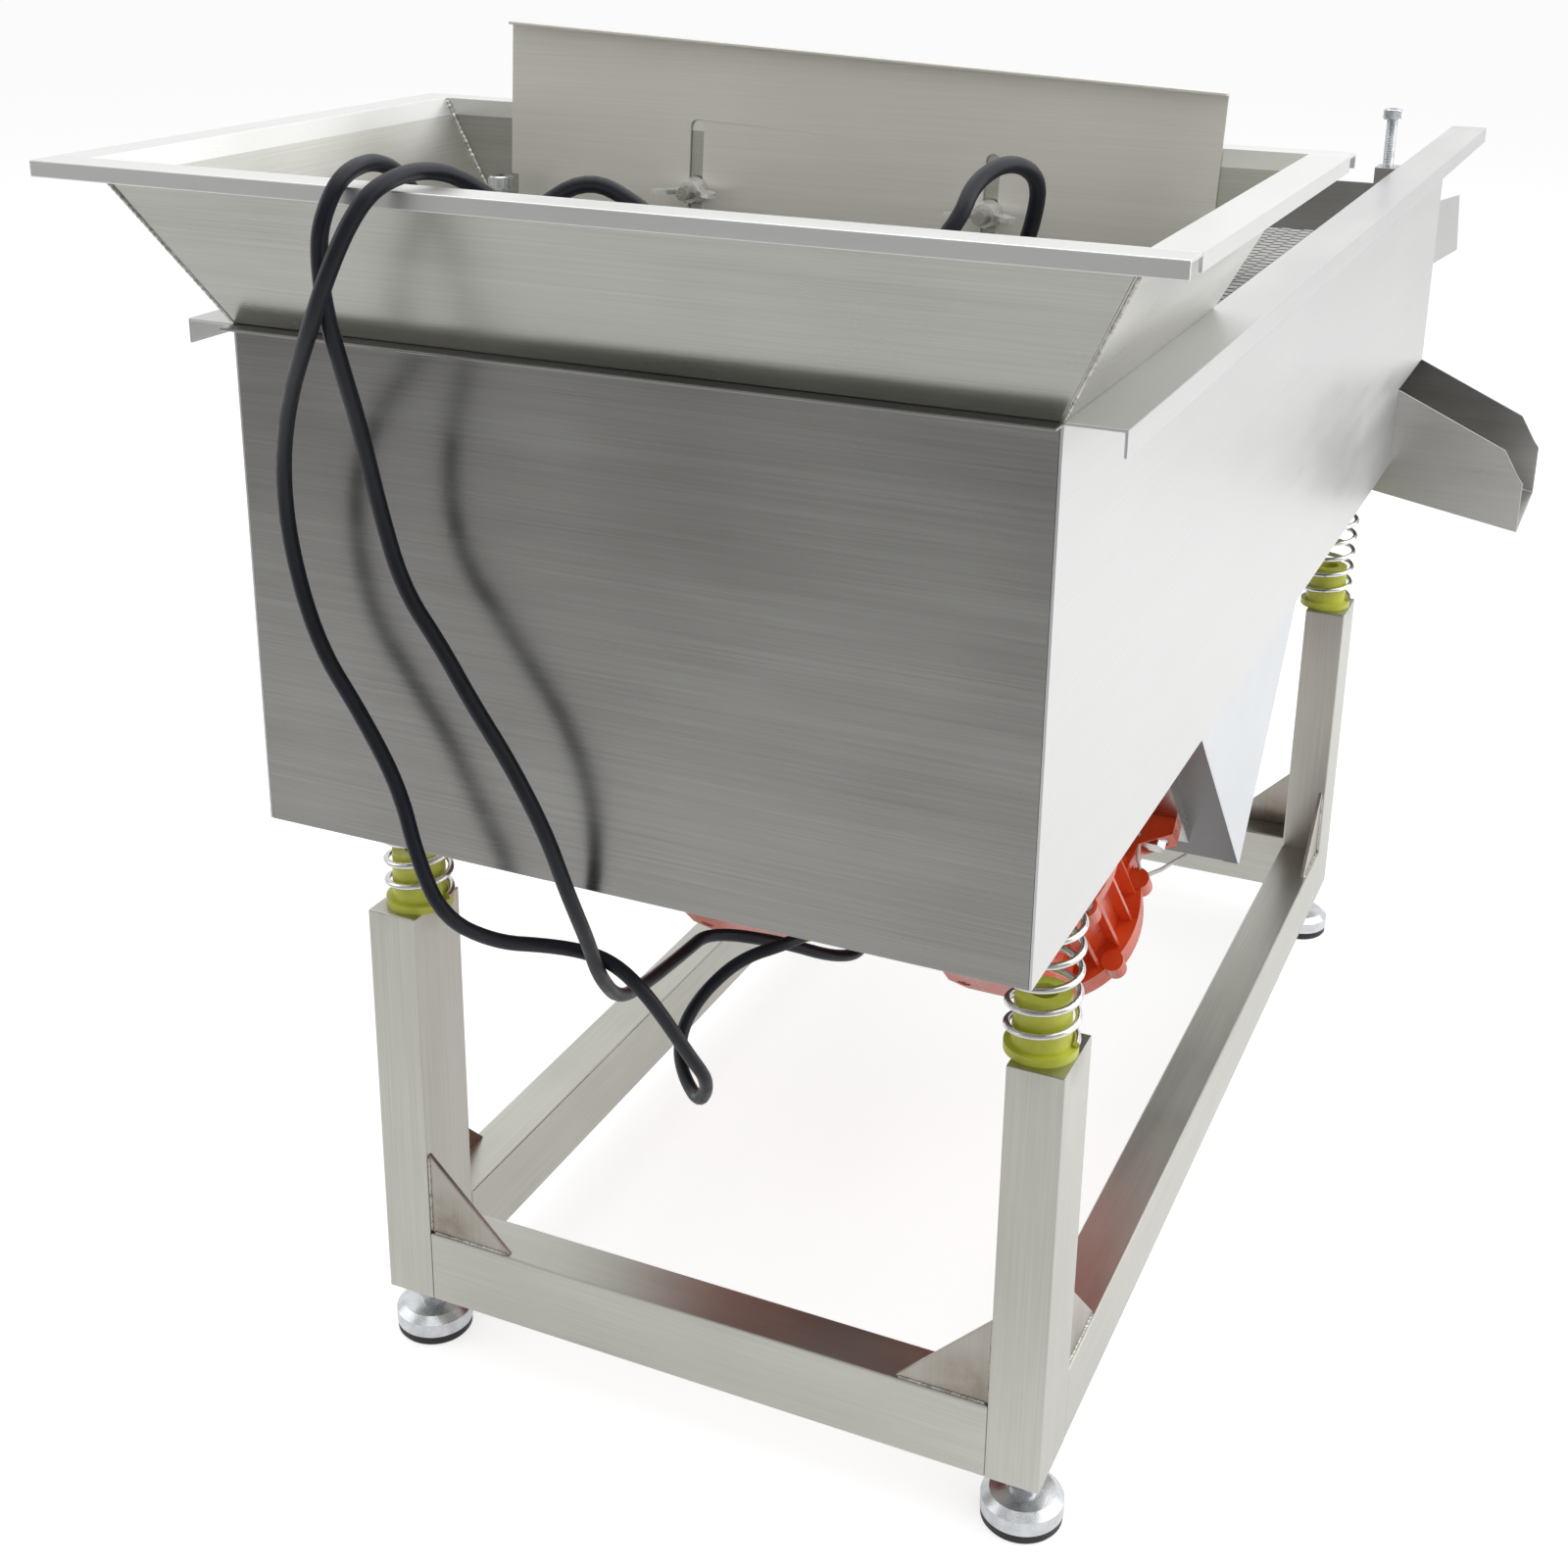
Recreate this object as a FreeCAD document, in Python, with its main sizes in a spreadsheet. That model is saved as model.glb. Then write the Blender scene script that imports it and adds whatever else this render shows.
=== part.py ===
"""Linear vibrating sieve: base frame, sprung screen box, feed hopper with a gate,
two decks, three outlets and two counter-rotating unbalance motors.

Frame: millimetres, +Z up, floor at Z 0, X across the machine, Y along the flow
(the feed end is at -Y), origin under the middle of the base frame.
"""
import FreeCAD, Part
import math
import os

import Sketcher

SIZES = {
    # base frame of rectangular tube
    "frame_inset": 3.2,
    "frame_length": 1033.0,
    "tube_narrow": 40.0,
    "tube_deep": 60.0,
    "tube_wall": 3.0,
    "post_height": 332.0,
    "gusset_leg": 70.0,
    "gusset_sheet": 4.0,
    "gusset_setback": 3.0,
    # levelling feet
    "foot_height": 50.0,
    "cup_radius": 30.0,
    "cup_height": 19.0,
    "pad_height": 8.0,
    "stud_radius": 6.0,
    "stud_reach": 40.0,
    "stud_clearance": 0.3,
    "locknut_flats": 19.0,
    "locknut_height": 8.0,
    # springs and their polyurethane seats
    "spring_radius": 23.5,
    "spring_side_gap": 1.4,
    "spring_wire": 2.4,
    "spring_turns": 8.0,
    "seat_flange_radius": 25.0,
    "seat_flange": 6.0,
    "seat_tube_radius": 20.0,
    "seat_bore_radius": 10.0,
    "seat_height": 43.0,
    "spring_length": 141.0,
    "bracket_plate": 6.0,
    "bracket_length": 60.0,
    "bracket_web": 42.0,
    # screen box
    "box_half_width": 270.7,
    "sheet": 2.0,
    "box_front": -615.0,
    "box_rear": 818.0,
    "skirt_bottom": 498.0,
    "box_top": 839.0,
    "flange_reach": 35.0,
    "flange_lip": 16.0,
    "flange_overhang": 48.0,
    "front_flange": 14.0,
    # feed hopper
    "rim_level": 944.0,
    "hopper_rear": -283.0,
    "hopper_front_lean": 53.0,
    "hopper_side_lean": 55.0,
    "rim_reach": 24.0,
    "rim_lip": 10.0,
    "rear_wall_bottom": 800.0,
    # decks
    "deck_level": 740.0,
    "lower_deck_level": 640.0,
    "deck_gap": 2.5,
    "deck_bar": 20.0,
    "deck_bar_sheet": 4.0,
    "pan_level": 592.0,
    # gate
    "gate_tilt": 2.5,
    "gate_side_gap": 2.7,
    "gate_neck": 6.0,
    "gate_shoulder": 10.0,
    "gate_below": 90.0,
    "gate_above": 101.0,
    "gate_lip": 8.0,
    "gate_gap": 0.3,
    "gate_sheet": 2.0,
    "gate_stud_spacing": 224.0,
    "gate_stud_level": 890.0,
    "gate_stud_radius": 5.0,
    "gate_stud_reach": 24.0,
    "slot_play": 0.25,
    "slot_up": 45.0,
    "slot_down": 50.0,
    "wing_hub_radius": 10.0,
    "wing_hub_height": 12.0,
    "wing_span": 52.0,
    "wing_height": 22.0,
    "wing_sheet": 3.5,
    "thread_play": 0.05,
    # clamp screws and bosses
    "clamp_front": -313.0,
    "clamp_rear": 485.0,
    "boss_width": 20.0,
    "boss_length": 28.0,
    "boss_height": 40.0,
    "clamp_radius": 5.0,
    "clamp_head_radius": 8.8,
    "clamp_head_height": 10.0,
    "clamp_head_top": 894.0,
    "clamp_socket": 8.0,
    "cross_plate_height": 50.0,
    "cross_plate_sheet": 3.0,
    # outlet chutes
    "rear_chute_start": 800.0,
    "rear_chute_lip": 1046.0,
    "rear_chute_shoulder": 1009.0,
    "rear_chute_high": 762.0,
    "rear_chute_drop": 20.0,
    "rear_chute_wall": 72.0,
    "side_chute_near": 652.0,
    "side_chute_reach": 410.0,
    "side_chute_floor": 461.0,
    "side_chute_slope": 0.175,
    "side_chute_wall": 118.0,
    "side_chute_shoulder": 526.0,
    "side_chute_nose": 499.0,
    # fines funnel
    "funnel_side_gap": 11.7,
    "tip_y": 60.0,
    "tip_level": 273.0,
    "funnel_rear_top": 358.0,
    "outlet_half_width": 80.0,
    "outlet_height": 28.0,
    # unbalance motors
    "throw_angle": 45.0,
    "motor_plate": 12.0,
    "motor_plate_half_width": 222.0,
    "motor_plate_length": 200.0,
    "motor_offset": 120.0,
    "motor_up_wall": 165.0,
    "motor_axis_height": 88.0,
    "motor_half_length": 74.0,
    "barrel_radius": 68.0,
    "ring_radius": 84.0,
    "ring_width": 14.0,
    "core_radius": 46.0,
    "air_gap": 0.5,
    "shaft_radius": 12.0,
    "bearing_play": 0.05,
    "cover_depth": 32.0,
    "cover_wall": 5.0,
    "foot_bolt_across": 163.0,
    "foot_bolt_along": 120.0,
    "foot_thickness": 14.0,
    "foot_half_width": 98.0,
    "foot_pad": 28.0,
    "foot_bolt_radius": 6.0,
    "foot_bolt_play": 0.5,
    "foot_washer_radius": 11.5,
    "terminal_half_width": 46.0,
    "terminal_half_length": 42.0,
    "terminal_reach": 88.0,
    "lid_half_width": 52.0,
    "lid_half_length": 45.0,
    "lid_thickness": 8.0,
    "lid_corner": 14.0,
    "weight_radius": 60.0,
    "weight_thickness": 16.0,
    "gland_radius": 9.5,
    "gland_length": 24.0,
    # cables
    "cable_radius": 5.0,
    "coil_radius": 81.0,
    "coil_hole": 39.0,
    "coil_height": 31.0,
}

doc = FreeCAD.newDocument("VibratingSieve")
sheet = doc.addObject("Spreadsheet::Sheet", "Sizes")
for row, (alias, number) in enumerate(SIZES.items(), start=1):
    sheet.set("A%d" % row, alias)
    sheet.set("B%d" % row, repr(number))
    sheet.setAlias("B%d" % row, alias)
doc.recompute()


class Size:
    """A number that remembers the sheet formula it comes from."""

    def __init__(self, value, formula):
        self.value = float(value)
        self.formula = formula

    def __add__(self, other):
        other = as_size(other)
        return Size(self.value + other.value, "(%s + %s)" % (self.formula, other.formula))

    def __sub__(self, other):
        other = as_size(other)
        return Size(self.value - other.value, "(%s - %s)" % (self.formula, other.formula))

    def __mul__(self, other):
        other = as_size(other)
        return Size(self.value * other.value, "(%s * %s)" % (self.formula, other.formula))

    def __truediv__(self, other):
        other = as_size(other)
        return Size(self.value / other.value, "(%s / %s)" % (self.formula, other.formula))

    def __neg__(self):
        return Size(-self.value, "(0 - %s)" % self.formula)

    __radd__ = __add__
    __rmul__ = __mul__

    def __rsub__(self, other):
        return as_size(other) - self


def as_size(number):
    return number if isinstance(number, Size) else Size(number, repr(float(number)))


def get(alias):
    return Size(sheet.get(alias), "Sizes." + alias)


def cosine(angle):
    return Size(math.cos(math.radians(angle.value)), "cos(%s * 1 deg)" % angle.formula)


def sine(angle):
    return Size(math.sin(math.radians(angle.value)), "sin(%s * 1 deg)" % angle.formula)


def bind(thing, path, size):
    """Give a property its formula, so that it follows the sheet."""
    if isinstance(size, Size):
        thing.setExpression(path, size.formula)


# ---------------------------------------------------------------- sketches

class Polygon:
    def __init__(self, *points):
        self.points = points

    def draw(self, sketch):
        corners = [FreeCAD.Vector(as_size(u).value, as_size(v).value, 0) for u, v in self.points]
        first = sketch.GeometryCount
        count = len(corners)
        for k in range(count):
            sketch.addGeometry(Part.LineSegment(corners[k], corners[(k + 1) % count]), False)
        for k in range(count):
            sketch.addConstraint(Sketcher.Constraint(
                "Coincident", first + k, 2, first + (k + 1) % count, 1))
            locate(sketch, first + k, 1, *self.points[k])


class Circle:
    def __init__(self, u, v, radius):
        self.centre = (u, v)
        self.radius = radius

    def draw(self, sketch):
        u, v = self.centre
        centre = FreeCAD.Vector(as_size(u).value, as_size(v).value, 0)
        ring = sketch.addGeometry(Part.Circle(
            centre, FreeCAD.Vector(0, 0, 1), as_size(self.radius).value), False)
        locate(sketch, ring, 3, u, v)
        radius = sketch.addConstraint(Sketcher.Constraint("Radius", ring, as_size(self.radius).value))
        bind(sketch, "Constraints[%d]" % radius, self.radius)


class Slot:
    """An upright slot with round ends: (u, low) to (u, high) between the end centres."""

    def __init__(self, u, low, high, radius):
        self.u, self.low, self.high, self.radius = u, low, high, radius

    def draw(self, sketch):
        u, low, high, r = [as_size(n).value for n in (self.u, self.low, self.high, self.radius)]
        up = FreeCAD.Vector(0, 0, 1)
        top = sketch.addGeometry(Part.ArcOfCircle(
            Part.Circle(FreeCAD.Vector(u, high, 0), up, r), 0, math.pi), False)
        left = sketch.addGeometry(Part.LineSegment(
            FreeCAD.Vector(u - r, high, 0), FreeCAD.Vector(u - r, low, 0)), False)
        bottom = sketch.addGeometry(Part.ArcOfCircle(
            Part.Circle(FreeCAD.Vector(u, low, 0), up, r), math.pi, 2 * math.pi), False)
        right = sketch.addGeometry(Part.LineSegment(
            FreeCAD.Vector(u + r, low, 0), FreeCAD.Vector(u + r, high, 0)), False)
        for one, two in ((top, left), (left, bottom), (bottom, right), (right, top)):
            sketch.addConstraint(Sketcher.Constraint("Tangent", one, 2, two, 1))
        locate(sketch, top, 3, self.u, self.high)
        locate(sketch, bottom, 3, self.u, self.low)
        radius = sketch.addConstraint(Sketcher.Constraint("Radius", top, r))
        bind(sketch, "Constraints[%d]" % radius, self.radius)


def locate(sketch, geometry, point, u, v):
    """Dimension a sketch point from the sketch's origin in both directions."""
    for kind, size in (("DistanceX", u), ("DistanceY", v)):
        index = sketch.addConstraint(Sketcher.Constraint(
            kind, -1, 1, geometry, point, as_size(size).value))
        bind(sketch, "Constraints[%d]" % index, size)


AXIS_SIGN = {"XY": 1, "XZ": -1, "YZ": 1}


def draw(body, plane, at, *loops):
    """A sketch parallel to one of the body's own planes, at a distance along the axis."""
    sketch = body.newObject("Sketcher::SketchObject", body.Name + "Sketch")
    support = [f for f in body.Origin.OriginFeatures if f.Role == plane + "_Plane"][0]
    sketch.AttachmentSupport = [(support, "")]
    sketch.MapMode = "FlatFace"
    offset = as_size(at) * AXIS_SIGN[plane]
    sketch.AttachmentOffset = FreeCAD.Placement(
        FreeCAD.Vector(0, 0, offset.value), FreeCAD.Rotation())
    bind(sketch, "AttachmentOffset.Base.z", offset)
    for loop in loops:
        loop.draw(sketch)
    return sketch


def make_body(name):
    body = doc.addObject("PartDesign::Body", name)
    body.Label = name
    return body


def pad(body, plane, at, length, *loops):
    """Add material from the sketch towards the positive axis."""
    feature = body.newObject("PartDesign::Pad", body.Name + "Pad")
    sketch = draw(body, plane, at, *loops)
    feature.Profile = sketch
    feature.Reversed = AXIS_SIGN[plane] < 0
    feature.Length = as_size(length).value
    bind(feature, "Length", length)
    body.Tip = feature
    return feature


def pocket(body, plane, at, length, *loops):
    """Take material away from the sketch towards the positive axis."""
    doc.recompute()
    before = body.Shape.Volume
    feature = body.newObject("PartDesign::Pocket", body.Name + "Pocket")
    feature.Profile = draw(body, plane, at, *loops)
    feature.Reversed = AXIS_SIGN[plane] > 0
    feature.Length = as_size(length).value
    bind(feature, "Length", length)
    body.Tip = feature
    doc.recompute()
    if not body.Shape.Volume < before - 1.0:
        raise ValueError("the cut in %s removes nothing" % body.Name)
    return feature


def revolve(body, *loops):
    """Turn a profile drawn in the XZ plane once round the body's Z axis."""
    feature = body.newObject("PartDesign::Revolution", body.Name + "Turn")
    feature.Profile = draw(body, "XZ", 0, *loops)
    axis = [f for f in body.Origin.OriginFeatures if f.Role == "Z_Axis"][0]
    feature.ReferenceAxis = (axis, [""])
    feature.Angle = 360
    body.Tip = feature
    return feature


def rectangle(low_u, high_u, low_v, high_v):
    return Polygon((low_u, low_v), (high_u, low_v), (high_u, high_v), (low_u, high_v))


def place(thing, x, y, z, rotation=None):
    """Put an object at a point whose coordinates may be formulas."""
    base = FreeCAD.Vector(*[as_size(n).value for n in (x, y, z)])
    thing.Placement = FreeCAD.Placement(base, rotation or FreeCAD.Rotation())
    for axis, size in zip("xyz", (x, y, z)):
        bind(thing, "Placement.Base." + axis, size)


def group(name, members):
    """Several separate solids of one kind, kept as one sub-part."""
    compound = doc.addObject("Part::Compound", name)
    compound.Label = name
    compound.Links = members
    return compound


parts = []


def keep(thing):
    parts.append(thing)
    return thing


# ---------------------------------------------------------------- derived levels

S = get
half_width = S("box_half_width") - S("frame_inset")
half_length = S("frame_length") / 2
frame_bottom = S("foot_height")
post_top = frame_bottom + S("post_height")
post_x = half_width - S("tube_narrow") / 2
post_y = half_length - S("tube_deep") / 2
inner_half = S("box_half_width") - S("sheet")
seat_x = inner_half - S("spring_radius") - S("spring_wire") - S("spring_side_gap")
spring_bottom = post_top + S("seat_flange")
spring_top = spring_bottom + S("spring_length")
bracket_level = spring_top + S("seat_flange")
slope_cos = cosine(S("throw_angle"))
slope_sin = sine(S("throw_angle"))
TILT = FreeCAD.Rotation(FreeCAD.Vector(1, 0, 0), SIZES["throw_angle"])
CORNERS = {"front_left": (-1, -1), "front_right": (1, -1), "rear_left": (-1, 1), "rear_right": (1, 1)}


def span(side, near, far):
    """The low end and the width of a stretch that lies on one side of the middle."""
    low = near if side > 0 else -far
    return low, far - near


# ---------------------------------------------------------------- base frame

def make_post(name, side, end):
    """A tube with welded end plates, the lower one tapped for a levelling foot."""
    body = make_body(name)
    wall = S("tube_wall")
    low_x, width = span(side, half_width - S("tube_narrow"), half_width)
    low_y, depth = span(end, half_length - S("tube_deep"), half_length)
    pad(body, "XY", frame_bottom, S("post_height"),
        rectangle(low_x, low_x + width, low_y, low_y + depth))
    pocket(body, "XY", frame_bottom + wall, S("post_height") - wall * 2,
           rectangle(low_x + wall, low_x + width - wall, low_y + wall, low_y + depth - wall))
    pocket(body, "XY", frame_bottom, wall,
           Circle(post_x * side, post_y * end, S("stud_radius") + S("stud_clearance")))
    return keep(body)


def make_rail(name, plane, at, length, low, high):
    """A hollow rail that runs between two posts, flush with their outer faces."""
    body = make_body(name)
    wall = S("tube_wall")
    pad(body, plane, at, length,
        rectangle(low, high, frame_bottom, frame_bottom + S("tube_deep")),
        rectangle(low + wall, high - wall, frame_bottom + wall,
                  frame_bottom + S("tube_deep") - wall))
    return keep(body)


def make_rails():
    across = half_width - S("tube_narrow")
    along = half_length - S("tube_deep")
    for name, end in (("rail_front", -1), ("rail_rear", 1)):
        low, width = span(end, half_length - S("tube_narrow"), half_length)
        make_rail(name, "YZ", -across, across * 2, low, low + width)
    for name, side in (("rail_left", -1), ("rail_right", 1)):
        low, width = span(side, half_width - S("tube_narrow"), half_width)
        make_rail(name, "XZ", -along, along * 2, low, low + width)


def make_gussets():
    """Triangular plates in the corners between the posts and the rails."""
    rail_top = frame_bottom + S("tube_deep")
    leg = S("gusset_leg")
    plates = []
    for corner, (side, end) in CORNERS.items():
        across = half_width - S("tube_narrow")
        plate = make_body("gusset_x_" + corner)
        low, width = span(end, half_length - S("gusset_setback") - S("gusset_sheet"),
                          half_length - S("gusset_setback"))
        pad(plate, "XZ", low, width, Polygon(
            (across * side, rail_top), ((across - leg) * side, rail_top), (across * side, rail_top + leg)))
        plates.append(plate)
        along = half_length - S("tube_deep")
        plate = make_body("gusset_y_" + corner)
        low, width = span(side, half_width - S("gusset_setback") - S("gusset_sheet"),
                          half_width - S("gusset_setback"))
        pad(plate, "YZ", low, width, Polygon(
            (along * end, rail_top), ((along - leg) * end, rail_top), (along * end, rail_top + leg)))
        plates.append(plate)
    keep(group("frame_gussets", plates))


def make_foot(corner, side, end):
    """A cup with its spindle, and the rubber pad held under it."""
    pad_body = make_body("foot_pad_" + corner)
    revolve(pad_body, Polygon(
        (0, 0), (S("cup_radius") - 2, 0), (S("cup_radius") - 0.5, 2),
        (S("cup_radius") - 0.5, S("pad_height")), (0, S("pad_height"))))
    place(pad_body, post_x * side, post_y * end, 0)
    keep(pad_body)
    foot = make_body("foot_" + corner)
    collar = S("stud_radius") + 6
    revolve(foot, Polygon(
        (0, S("pad_height")), (S("cup_radius"), S("pad_height")),
        (S("cup_radius"), S("cup_height")), (S("cup_radius") - 6, S("cup_height") + 5),
        (collar, S("cup_height") + 7), (collar, S("cup_height") + 12),
        (S("stud_radius"), S("cup_height") + 12),
        (S("stud_radius"), S("foot_height") + S("stud_reach")),
        (0, S("foot_height") + S("stud_reach"))))
    place(foot, post_x * side, post_y * end, 0)
    keep(foot)


def make_locknut(corner, side, end):
    """A hexagon nut run up against the post's end plate."""
    nut = doc.addObject("Part::Prism", "locknut_body_" + corner)
    nut.Polygon = 6
    bind(nut, "Circumradius", S("locknut_flats") / (2 * math.cos(math.pi / 6)))
    bind(nut, "Height", S("locknut_height"))
    place(nut, post_x * side, post_y * end, frame_bottom - S("locknut_height"))
    hole = doc.addObject("Part::Cylinder", "locknut_hole_" + corner)
    bind(hole, "Radius", S("stud_radius") + S("stud_clearance"))
    bind(hole, "Height", S("locknut_height"))
    place(hole, post_x * side, post_y * end, frame_bottom - S("locknut_height"))
    cut = doc.addObject("Part::Cut", "locknut_" + corner)
    cut.Base = nut
    cut.Tool = hole
    return cut


# ---------------------------------------------------------------- springs

def make_seat(name, x, y, foot, up):
    """A polyurethane bush: a flange on the carrier and a tube that centres the spring."""
    body = make_body(name)
    flange = S("seat_flange") * up
    top = S("seat_height") * up
    revolve(body, Polygon(
        (S("seat_bore_radius"), 0), (S("seat_flange_radius"), 0), (S("seat_flange_radius"), flange),
        (S("seat_tube_radius") + 0.5, flange), (S("seat_tube_radius") - 1, top),
        (S("seat_bore_radius"), top)))
    place(body, x, y, foot)
    return body


def make_spring(name, x, y):
    """An open coil spring between the two seats."""
    body = make_body(name)
    wire = S("spring_wire")
    rise = S("spring_length") - wire * 2 - 0.6
    sketch = draw(body, "XZ", 0, Circle(S("spring_radius"), wire + 0.3, wire))
    coil = body.newObject("PartDesign::AdditiveHelix", name + "Coil")
    coil.Profile = sketch
    axis = [f for f in body.Origin.OriginFeatures if f.Role == "Z_Axis"][0]
    coil.ReferenceAxis = (axis, [""])
    coil.Mode = 1
    coil.Height = rise.value
    coil.Turns = S("spring_turns").value
    coil.Pitch = (rise / S("spring_turns")).value
    bind(coil, "Height", rise)
    bind(coil, "Pitch", rise / S("spring_turns"))
    body.Tip = coil
    place(body, x, y, spring_bottom)
    return body


def make_bracket(corner, side, end):
    """The shelf inside the skirt that carries the upper seat, with its web."""
    body = make_body("bracket_" + corner)
    shelf = inner_half - seat_x + S("seat_flange_radius")
    low, width = span(side, inner_half - shelf, inner_half)
    half = S("bracket_length") / 2
    centre = post_y * end
    pad(body, "XY", bracket_level, S("bracket_plate"),
        rectangle(low, low + width, centre - half, centre + half))
    web = S("bracket_plate")
    level = bracket_level + web
    pad(body, "XZ", centre - web / 2, web, Polygon(
        (inner_half * side, level), ((inner_half - shelf) * side, level), (inner_half * side, level + S("bracket_web"))))
    return body


def make_suspension():
    lower, springs, upper, brackets, nuts = [], [], [], [], []
    for corner, (side, end) in CORNERS.items():
        x = seat_x * side
        y = post_y * end
        lower.append(make_seat("lower_seat_" + corner, x, y, post_top, 1))
        springs.append(make_spring("spring_" + corner, x, y))
        upper.append(make_seat("upper_seat_" + corner, x, y, bracket_level, -1))
        brackets.append(make_bracket(corner, side, end))
        nuts.append(make_locknut(corner, side, end))
        make_foot(corner, side, end)
    keep(group("lower_seats", lower))
    keep(group("springs", springs))
    keep(group("upper_seats", upper))
    keep(group("spring_brackets", brackets))
    keep(group("foot_locknuts", nuts))


# ---------------------------------------------------------------- screen box

chute_notch = S("side_chute_near") - 0.5
notch_top = S("side_chute_floor") + S("side_chute_wall") + 1


def make_side_panel(name, side):
    """A sheet side with an outward top flange and a turned-down lip."""
    body = make_body(name)
    low, width = span(side, inner_half, S("box_half_width"))
    front = S("box_front")
    rear = S("box_rear")
    bottom = S("skirt_bottom")
    top = S("box_top")
    corner = ((rear, bottom),)
    if side > 0:
        corner = ((chute_notch, bottom), (chute_notch, notch_top), (rear, notch_top))
    tail = rear + S("flange_overhang")
    pad(body, "YZ", low, width, Polygon(
        (front, bottom), *corner, (rear, top - 27), (tail, top - 9), (tail, top), (front, top)))
    reach = S("flange_reach")
    skin = S("sheet")
    edge = S("box_half_width")
    pad(body, "XZ", front, tail - front, Polygon(
        (inner_half * side, top), ((edge + reach) * side, top), ((edge + reach) * side, top - S("flange_lip")),
        ((edge + reach - skin) * side, top - S("flange_lip")), ((edge + reach - skin) * side, top - skin),
        (inner_half * side, top - skin)))
    return keep(body)


def make_front_panel():
    """The front sheet between the sides, with a narrow flange under the hopper."""
    body = make_body("front_panel")
    pad(body, "YZ", -inner_half, inner_half * 2,
        rectangle(S("box_front"), S("box_front") + S("sheet"), S("skirt_bottom"), S("box_top")))
    pad(body, "XY", S("box_top") - S("sheet"), S("sheet"), rectangle(
        -S("box_half_width"), S("box_half_width"),
        S("box_front") - S("front_flange"), S("box_front")))
    return keep(body)


def make_rear_panel():
    """Closes the back of the box between the side chute and the rear chute."""
    body = make_body("rear_panel")
    low = S("lower_deck_level") + S("sheet")
    high = S("rear_chute_high") - S("rear_chute_wall") - 4
    pad(body, "YZ", -inner_half, inner_half * 2,
        rectangle(S("box_rear") - S("sheet"), S("box_rear"), low, high))
    return keep(body)


def make_decks():
    """Two screen decks on bars along the sides, and the floor before the funnel."""
    half = inner_half - S("deck_gap")
    start = S("box_front") + S("sheet") + S("deck_gap")
    deck = make_body("upper_deck")
    pad(deck, "XY", S("deck_level"), S("sheet"),
        rectangle(-half, half, start, S("rear_chute_start") + 30))
    keep(deck)
    deck = make_body("lower_deck")
    pad(deck, "XY", S("lower_deck_level"), S("sheet"),
        rectangle(-half, half, start, S("side_chute_near")))
    keep(deck)
    bars = []
    for level in (S("deck_level"), S("lower_deck_level")):
        for side in (-1, 1):
            bar = make_body("deck_bar")
            thick = S("deck_bar_sheet")
            low, width = span(side, inner_half - S("deck_bar"), inner_half)
            pad(bar, "XY", level - thick, thick,
                rectangle(low, low + width, start, S("side_chute_near")))
            bars.append(bar)
    keep(group("deck_bars", bars))
    pan = make_body("pan_floor")
    top = S("pan_level")
    end = S("tip_y") - (top - S("tip_level")) * slope_cos / slope_sin
    pad(pan, "YZ", -inner_half, inner_half * 2, rectangle(
        S("box_front") + S("sheet"), end, top - S("sheet"), top))
    keep(pan)


def make_hopper_side(name, side):
    """A leaning side wall whose rim is bent outward and down."""
    body = make_body(name)
    skin = S("sheet")
    low = S("box_top")
    top = S("rim_level")
    foot_x = S("box_half_width")
    head_x = foot_x + S("hopper_side_lean")
    rim = head_x + S("rim_reach")
    front_foot = S("box_front")
    front_head = front_foot - S("hopper_front_lean")
    start = front_head
    pad(body, "XZ", start, S("hopper_rear") - start, Polygon(
        ((foot_x - skin) * side, low), (foot_x * side, low), (head_x * side, top - skin),
        ((rim - skin) * side, top - skin), ((rim - skin) * side, top - S("rim_lip")),
        (rim * side, top - S("rim_lip")), (rim * side, top), ((head_x - skin) * side, top)))
    cut_low = foot_x - skin - 1
    low_x, width = span(side, cut_low, head_x - 0.5)
    pocket(body, "YZ", low_x, width, Polygon(
        (start - 1, low - 1), (front_foot, low - 1), (front_head, top), (start - 1, top)))
    return keep(body)


def make_hopper_front():
    """The leaning front wall between the side walls, with its own rim."""
    body = make_body("hopper_front")
    skin = S("sheet")
    low = S("box_top")
    top = S("rim_level")
    foot = S("box_front")
    head = foot - S("hopper_front_lean")
    rim = head - S("rim_reach")
    half_top = S("box_half_width") + S("hopper_side_lean") + S("rim_reach")
    pad(body, "YZ", -half_top, half_top * 2, Polygon(
        (foot + skin, low), (foot, low), (head, top - skin), (rim + skin, top - skin),
        (rim + skin, top - S("rim_lip")), (rim, top - S("rim_lip")), (rim, top), (head + skin, top)))
    for side in (-1, 1):
        wall_low = S("box_half_width") - skin
        wall_high = wall_low + S("hopper_side_lean")
        pocket(body, "XZ", head, S("hopper_front_lean") + skin + 1, Polygon(
            (wall_low * side, low - 1), (wall_low * side, low), (wall_high * side, top),
            (wall_high * side, top + 1), ((half_top + 1) * side, top + 1), ((half_top + 1) * side, low - 1)))
    return keep(body)


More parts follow.
